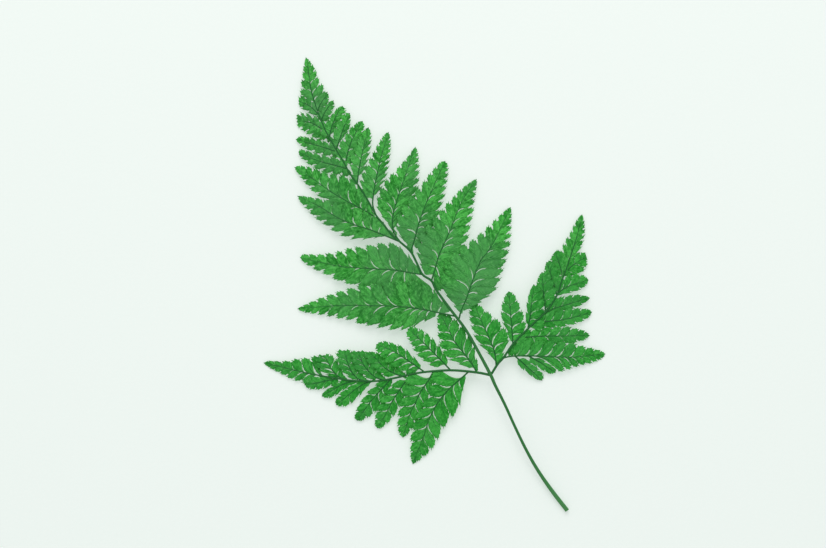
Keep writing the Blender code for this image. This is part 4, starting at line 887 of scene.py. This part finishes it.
def leaflet(rib, carrier, slope, side, inner, outer, loose, opened, out_share):
    """One leaflet between the edge it shares with the one before it (inner) and its own far edge (outer):
    its points, faces, grain and tints, the names of the tints, and the line of its middle vein.
    rib and carrier: the rib it stands on and the one that carries its spray. slope: rise away from the
    rib. loose: how free it is of its neighbours. opened: whether they stand apart. Shares along it run
    from its foot to its end, and shares across it from its near edge, by the one before, to its far one."""
    reach = max(np.linalg.norm(outer[-1] - outer[0]), LEAST_REACH * np.linalg.norm(inner[-1] - inner[0]))
    shoulder = draw.uniform(*SHOULDER)
    width = np.linalg.norm(outer[-1] - inner[-1])
    across, along, is_notch = tooth_places(reach, width)
    end_notch = np.arange(len(across)) % 2 == 1

    far = along_curve(outer, along)
    near = along_curve(inner, along * shoulder)
    way = unit(np.gradient(near, axis=0))
    ahead = np.column_stack([-way[:, 1], way[:, 0]])
    ahead *= np.sign(np.sum(ahead * (far - near), axis=1))[:, None]
    gap, parted = gap_before(along, reach, width, side, loose, opened)
    near = near + ahead * np.minimum(gap, MOST_GAP * np.linalg.norm(far - near, axis=1))[:, None]
    grid, room = toothed_plan(near, far, across, along, is_notch, end_notch, parted, reach)

    vein_place = np.interp(along, *VEIN_PLACE)
    from_vein = across[None, :] - vein_place[:, None]
    heights = leaflet_heights(grid, room, across, along, from_vein, rib, carrier, slope, reach, loose)
    u_way, v_way = far[-2] - near[-2], (near[-1] + far[-1]) / 2 - (near[0] + far[0]) / 2
    points, faces = closed_blade(grid, heights, u_way[0] * v_way[1] - u_way[1] * v_way[0] > 0)

    # the leaflet laid flat: mm from its near edge and along it
    rows, columns = heights.shape
    flat = np.dstack([across[None, :] * room[:, None], np.repeat((along * reach)[:, None], columns, axis=1)])
    flat = flat.reshape(-1, 2)
    toothed = np.zeros((rows, columns))
    toothed[:, -1] = np.where(is_notch, 0, along)
    toothed[-1, :] = np.where(end_notch, 0, 1)
    foot = np.interp(along, [0, 0.08, 0.3, 0.6], [0, 1, 1, 0]) * loose
    # the far edge counts as further off near the foot, where nothing shades it
    off_far = (1 - across)[None, :] * room[:, None] + 2 * np.clip(0.4 - along, 0, 1)[:, None]
    count = rows * columns
    tints = {
        "under": np.concatenate([np.zeros(count), np.ones(count)]),
        "shade": np.full(2 * count, draw.uniform(0, 1)),
        "tooth": np.tile(toothed.ravel(), 2),
        "off_vein": np.tile((from_vein * room[:, None]).ravel(), 2),
        "foot": np.tile(np.repeat(foot, columns), 2),
        "off_far": np.tile(off_far.ravel(), 2),
        "out": np.full(2 * count, 1.0 if opened else out_share),
    }
    blade = (points, faces, np.vstack([flat, flat]), *tints.values())

    # its middle vein, just proud of both faces
    shares = np.linspace(0, VEIN_END, VEIN_POINTS)
    middle = [
        [np.interp(place, across, values[row]) for row, place in enumerate(vein_place)]
        for values in (grid[..., 0], grid[..., 1], heights)
    ]
    vein = np.column_stack([np.interp(shares, along, column) for column in middle])
    thick, loss = OPEN_VEIN if opened else DENSE_VEIN
    radius = (thick - loss * shares) * np.clip(reach / FULL_LENGTH, 0.8, 1)
    return blade, list(tints), np.column_stack([vein, radius])


def leaflets_of(name):
    """Every leaflet of a spray, the names of their tints, and their veins."""
    spray, line = SPRAYS[name], lines[name]
    from_rachis = parent_of(name) == "rachis"
    opened = not from_rachis or "loose" in spray
    rib = points_at(line, np.linspace(0, 1, RIB_POINTS))
    carrier = points_at(lines[parent_of(name)], np.linspace(0, 1, RIB_POINTS))
    length = np.linalg.norm(np.diff(rib[:, :2], axis=0), axis=1).sum()
    blades, veins = [], []
    for side in (FRONT, BACK):
        edge = np.array(spray[EDGES[side]], float)
        count, bare = spray["count"][side], spray["bare"][side]
        slope = spray["twist"] * (1 if side == FRONT else -1)
        toward = (1 + bare) / 2
        if not from_rachis:
            bare = BARE_SHARE * bare
        way = directions_at(line, toward)[0]
        off = points_at(edge, [0.5])[0] - points_at(line, [toward])[0, :2]
        sign = 1 if way[0] * off[1] - way[1] * off[0] > 0 else -1
        reach = 1 - (1 - np.arange(count) / max(count - 1, 1)) ** CROWDING
        tips = points_at(edge, reach)
        nearest, away = nearest_on(rib, tips)
        past = (PAST_EDGE if opened else PAST_EDGE_DENSE) * np.clip(away / 5, 0, 1)
        tips = tips + unit(tips - points_at(line, nearest)[:, :2]) * past[:, None]
        lean = np.interp(nearest, LEAN_SHARES, (OPEN_LEANS if opened else LEANS)[side])
        least = bare + CLOSEST * (1 - bare) * (1 - (1 - np.arange(1, count + 1) / count) ** CROWDING)
        feet = np.clip(nearest - away / np.tan(lean) / length, least, LAST_FOOT)
        tips = np.vstack([2 * tips[0] - tips[1], tips, line[-1, :2]])
        feet = np.maximum.accumulate(np.concatenate([[bare], feet, [1]]))
        edges = [outward_edge(line, share, sign, tip) for share, tip in zip(feet, tips)]
        for foot, inner, outer in zip(feet, edges, edges[1:]):
            size = np.linalg.norm(inner[-1] - inner[0])
            loose = np.clip((size - HELD_LENGTH) / LOOSENING, 0, 1) * np.interp(foot, *END_LOOSE)
            loose *= spray.get("loose", 1)
            blade, tints, vein = leaflet(rib, carrier, slope, side, inner, outer, loose, opened, foot)
            blades.append(blade)
            veins.append(axis_tube(vein, VEIN_SIDES))
    return blades, tints, veins


# Dyed leaf: glycerine-soft tissue with a waxy skin that lets light through. The eye gets a vivid green
# with streaks along darker side veins, a fine mottle, a paler underside, brownish tooth tips and a low
# broken gloss. Painted into the colour: a pale sheen on dense leaflets towards the rachis, a more vivid
# green for light coming through leaflets that stand apart, small pale glints, pale painted light on the
# edges where the leaflets part and painted shade on their far edges.
leaf, tree = new_material("dyed_leaf_tissue")
tint = {
    name: add_node(tree, "ShaderNodeAttribute", attribute_name=name).outputs["Fac"]
    for name in ("off_vein", "shade", "out", "foot", "off_far", "tooth", "under")
}
flat_place = add_node(tree, "ShaderNodeUVMap", uv_map="grain")
apart = add_node(tree, "ShaderNodeSeparateXYZ", links={"Vector": flat_place})
# side veins leave the middle one every 1.5 mm, a little wider apart than real ones, and lean forward
from_vein = add_node(tree, "ShaderNodeMath", links={0: tint["off_vein"]}, operation="ABSOLUTE")
leaning = add_node(
    tree, "ShaderNodeMath", {1: -2.0}, {0: from_vein, 2: apart.outputs["Y"]}, operation="MULTIPLY_ADD"
)
spaced = add_node(tree, "ShaderNodeMath", {1: 1.5}, {0: leaning}, operation="DIVIDE")
wrapped = add_node(tree, "ShaderNodeMath", links={0: spaced}, operation="FRACT")
centred = add_node(tree, "ShaderNodeMath", {1: 0.5}, {0: wrapped}, operation="SUBTRACT")
beside = add_node(tree, "ShaderNodeMath", links={0: centred}, operation="ABSOLUTE")
# mottle of 1.5 mm, and a slow change over about 22 mm
place = add_node(tree, "ShaderNodeTexCoord").outputs["Object"]
mottle = add_node(
    tree, "ShaderNodeTexNoise", {"Scale": 650.0, "Detail": 4.0, "Roughness": 0.65}, {"Vector": place}
)
slow = add_node(tree, "ShaderNodeTexNoise", {"Scale": 45.0, "Detail": 2.0}, {"Vector": place})
# streaks of 1.3 mm by 2.5 mm that run with the side veins, different on each leaflet
own_place = add_node(tree, "ShaderNodeMath", {1: 40.0}, {0: tint["shade"]}, operation="MULTIPLY")
laid = add_node(
    tree, "ShaderNodeCombineXYZ", links={"X": leaning, "Y": apart.outputs["X"], "Z": own_place}
)
stretched = add_node(tree, "ShaderNodeMapping", {"Scale": (0.75, 0.4, 1.0)}, {"Vector": laid})
streaks = add_node(
    tree, "ShaderNodeTexNoise", {"Scale": 1.0, "Detail": 3.0, "Roughness": 0.65}, {"Vector": stretched}
)
mixed = add_node(tree, "ShaderNodeMath", links={0: streaks, 1: mottle}, operation="ADD")
spread = add_node(tree, "ShaderNodeMath", {1: 0.9, 2: -0.4}, {0: mixed}, operation="MULTIPLY_ADD")
blend = add_node(tree, "ShaderNodeMath", {1: 0.16}, {0: tint["shade"], 2: spread}, operation="MULTIPLY_ADD")
greens = add_node(tree, "ShaderNodeValToRGB", links={"Fac": blend})
for stop, (position, colour) in zip(greens.color_ramp.elements, [(0.40, "#06861a"), (0.74, "#74f870")]):
    stop.position, stop.color = position, linear(colour)
# what each share is measured on, the range that counts, and the share at both ends of that range
share = {}
for name, source, start, end, at_start, at_end, ease in [
    # dense leaflets pale towards the rachis as a painted sheen, here more and there less, and those apart
    # are the most vivid, painted for light coming through them
    ("near_rachis", tint["out"], 0.0, 0.65, 0.42, 0.0, "LINEAR"),
    ("uneven", slow.outputs[0], 0.4, 0.65, -0.15, 0.5, "LINEAR"),
    ("vivid", tint["out"], 0.7, 1.0, 0.0, 0.38, "LINEAR"),
    ("side_vein", beside.outputs[0], 0.06, 0.32, 1.0, 0.0, "SMOOTHSTEP"),
    # painted highlights: glints of light of 1 mm or less, painted pale into the colour
    ("glint", mottle.outputs[0], 0.60, 0.72, 0.0, 0.55, "LINEAR"),
    # light caught on the near edge where two leaflets part, in mm from it, and shade on the far edge
    ("near_edge", apart.outputs["X"], 0.15, 0.6, 0.9, 0.0, "SMOOTHSTEP"),
    ("far_edge", tint["off_far"], 0.12, 0.8, 0.4, 0.0, "SMOOTHSTEP"),
    ("tooth_tip", tint["tooth"], 0.6, 1.0, 0.0, 0.5, "LINEAR"),
]:
    share[name] = add_node(
        tree, "ShaderNodeMapRange",
        {"From Min": start, "From Max": end, "To Min": at_start, "To Max": at_end},
        {"Value": source}, interpolation_type=ease,
    )
# painted sheen near the rachis, added to a slow random change of tone
pale = add_node(
    tree, "ShaderNodeMath", links={0: share["near_rachis"], 1: share["uneven"]},
    operation="ADD", use_clamp=True,
)
veined = add_node(tree, "ShaderNodeMath", {1: 0.5}, {0: share["side_vein"]}, operation="MULTIPLY")
parted = add_node(
    tree, "ShaderNodeMath", links={0: share["near_edge"], 1: tint["foot"]}, operation="MULTIPLY"
)
below = add_node(tree, "ShaderNodeMath", {1: 0.5}, {0: tint["under"]}, operation="MULTIPLY")
# each colour is laid over those before it, by its own share
colour = greens.outputs["Color"]
for over, amount in [
    # painted sheen near the rachis, with the slow random tone
    ("#68bb70", pale),
    # painted light: a more vivid green for light coming through the leaflets
    ("#2ec03c", share["vivid"]),
    ("#0d6e26", veined),
    # painted highlight: pale glints
    ("#9fd69a", share["glint"]),
    ("#b6e2b2", parted),
    ("#0c6a24", share["far_edge"]),
    ("#5f7a50", share["tooth_tip"]),
    ("#6aa86a", below),
]:
    coat = add_node(
        tree, "ShaderNodeMix", {"B": linear(over)}, {"Factor": amount, "A": colour}, data_type="RGBA"
    )
    colour = coat.outputs["Result"]
height = add_node(
    tree, "ShaderNodeMath", {1: 0.5}, {0: share["side_vein"], 2: mottle}, operation="MULTIPLY_ADD"
)
relief = add_node(tree, "ShaderNodeBump", {"Strength": 0.6, "Distance": 0.00012}, {"Height": height})
gloss = add_node(
    tree, "ShaderNodeMapRange", {"From Min": 0.3, "From Max": 0.7, "To Min": 0.42, "To Max": 0.58},
    {"Value": mottle},
)
surface = add_node(
    tree, "ShaderNodeBsdfPrincipled", {"IOR": 1.45, "Specular IOR Level": 0.28},
    {"Base Color": colour, "Roughness": gloss, "Normal": relief},
)
through = add_node(tree, "ShaderNodeBsdfTranslucent", {"Color": linear("#6fd84a")})
tissue = add_node(tree, "ShaderNodeMixShader", {"Fac": 0.3}, {1: surface, 2: through})
add_node(tree, "ShaderNodeOutputMaterial", links={"Surface": tissue})

pinnae = {}
vein_tubes = []
for name in SPRAYS:
    blades, tints, veins = leaflets_of(name)
    pinnae.setdefault(pinna_of(name), []).extend(blades)
    vein_tubes += veins
for name, blades in pinnae.items():
    points, faces, flat, *values = joined(blades)
    new_piece(name + "_leaflets", points, faces, leaf, flat, dict(zip(tints, values)))
wiry_piece("leaflet_veins", vein_tubes)


# The surface it lies on: a plain sheet of pale matt paper board, laid flat. It is the stage, and no part
# of the frond.
FLOOR_HALF, FLOOR_DROP = 4.0, 0.0002
corners = [(-1, -1), (1, -1), (1, 1), (-1, 1)]
floor_mesh = bpy.data.meshes.new("floor")
floor_mesh.from_pydata([(x * FLOOR_HALF, y * FLOOR_HALF, 0) for x, y in corners], [], [(0, 1, 2, 3)])
# Matt board: pressed paper fibres of about 1 mm. The eye gets an almost even pale grey with no shine.
board, tree = new_material("pale_matt_board")
place = add_node(tree, "ShaderNodeTexCoord")
fibre = add_node(
    tree, "ShaderNodeTexNoise", {"Scale": 900.0, "Detail": 3.0}, {"Vector": place.outputs["Object"]}
)
tones = add_node(tree, "ShaderNodeValToRGB", links={"Fac": fibre})
for stop, colour in zip(tones.color_ramp.elements, ["#eaf2ee", "#f0f7f3"]):
    stop.color = linear(colour)
# part of its brightness is given as a glow, for the light that a bright room throws under the frond
lit = add_node(tree, "ShaderNodeHueSaturation", {"Value": 0.69}, {"Color": tones})
matt = add_node(
    tree, "ShaderNodeBsdfPrincipled",
    {"Roughness": 0.9, "Specular IOR Level": 0.2, "Emission Strength": 0.47},
    {"Base Color": lit, "Emission Color": tones},
)
add_node(tree, "ShaderNodeOutputMaterial", links={"Surface": matt})
floor_mesh.materials.append(board)
floor = bpy.data.objects.new("floor", floor_mesh)
floor.location.z = -FLOOR_DROP
bpy.context.scene.collection.objects.link(floor)


# Light and camera: soft even light with a large soft lamp from the upper right, seen from straight above
# with the frond leaning to the left.
scene = bpy.context.scene
scene.view_settings.view_transform = "Standard"
world = bpy.data.worlds.new("studio")
world.use_nodes = True
room_light = world.node_tree.nodes["Background"]
room_light.inputs["Color"].default_value = linear("#f4f8f6")
room_light.inputs["Strength"].default_value = 0.60
scene.world = world

LAMP_PLACE = (0.55, 0.95, 1.15)
light = bpy.data.lights.new("key_softbox", "AREA")
light.size = 1.0
light.energy = 10.0
light.color = (1.0, 0.95, 0.95)
lamp = bpy.data.objects.new("key_softbox", light)
lamp.location = LAMP_PLACE
tilt = math.atan2(math.hypot(LAMP_PLACE[0], LAMP_PLACE[1]), LAMP_PLACE[2])
lamp.rotation_euler = (0, tilt, math.atan2(LAMP_PLACE[1], LAMP_PLACE[0]))
scene.collection.objects.link(lamp)

# the photo's size in pixels, the fork's place in it, and the real size of a pixel
FRAME_WIDTH, FRAME_HEIGHT = 826, 548
FORK_PIXEL = (490.5, 374.5)
PIXEL_MM = 0.5
CAMERA_HEIGHT = 1.5
SENSOR_WIDTH = 36.0
camera_data = bpy.data.cameras.new("camera")
camera_data.sensor_width = SENSOR_WIDTH
camera_data.lens = SENSOR_WIDTH * CAMERA_HEIGHT / (FRAME_WIDTH * PIXEL_MM * MM)
camera_data.clip_end = 50
camera = bpy.data.objects.new("camera", camera_data)
middle_x = (FRAME_WIDTH / 2 - FORK_PIXEL[0]) * PIXEL_MM
middle_y = (FORK_PIXEL[1] - FRAME_HEIGHT / 2) * PIXEL_MM
camera_x, camera_y = turned_upright(middle_x, middle_y)
camera.location = (camera_x * MM, camera_y * MM, CAMERA_HEIGHT)
camera.rotation_euler = (0, 0, -LEAN)
scene.collection.objects.link(camera)
scene.camera = camera
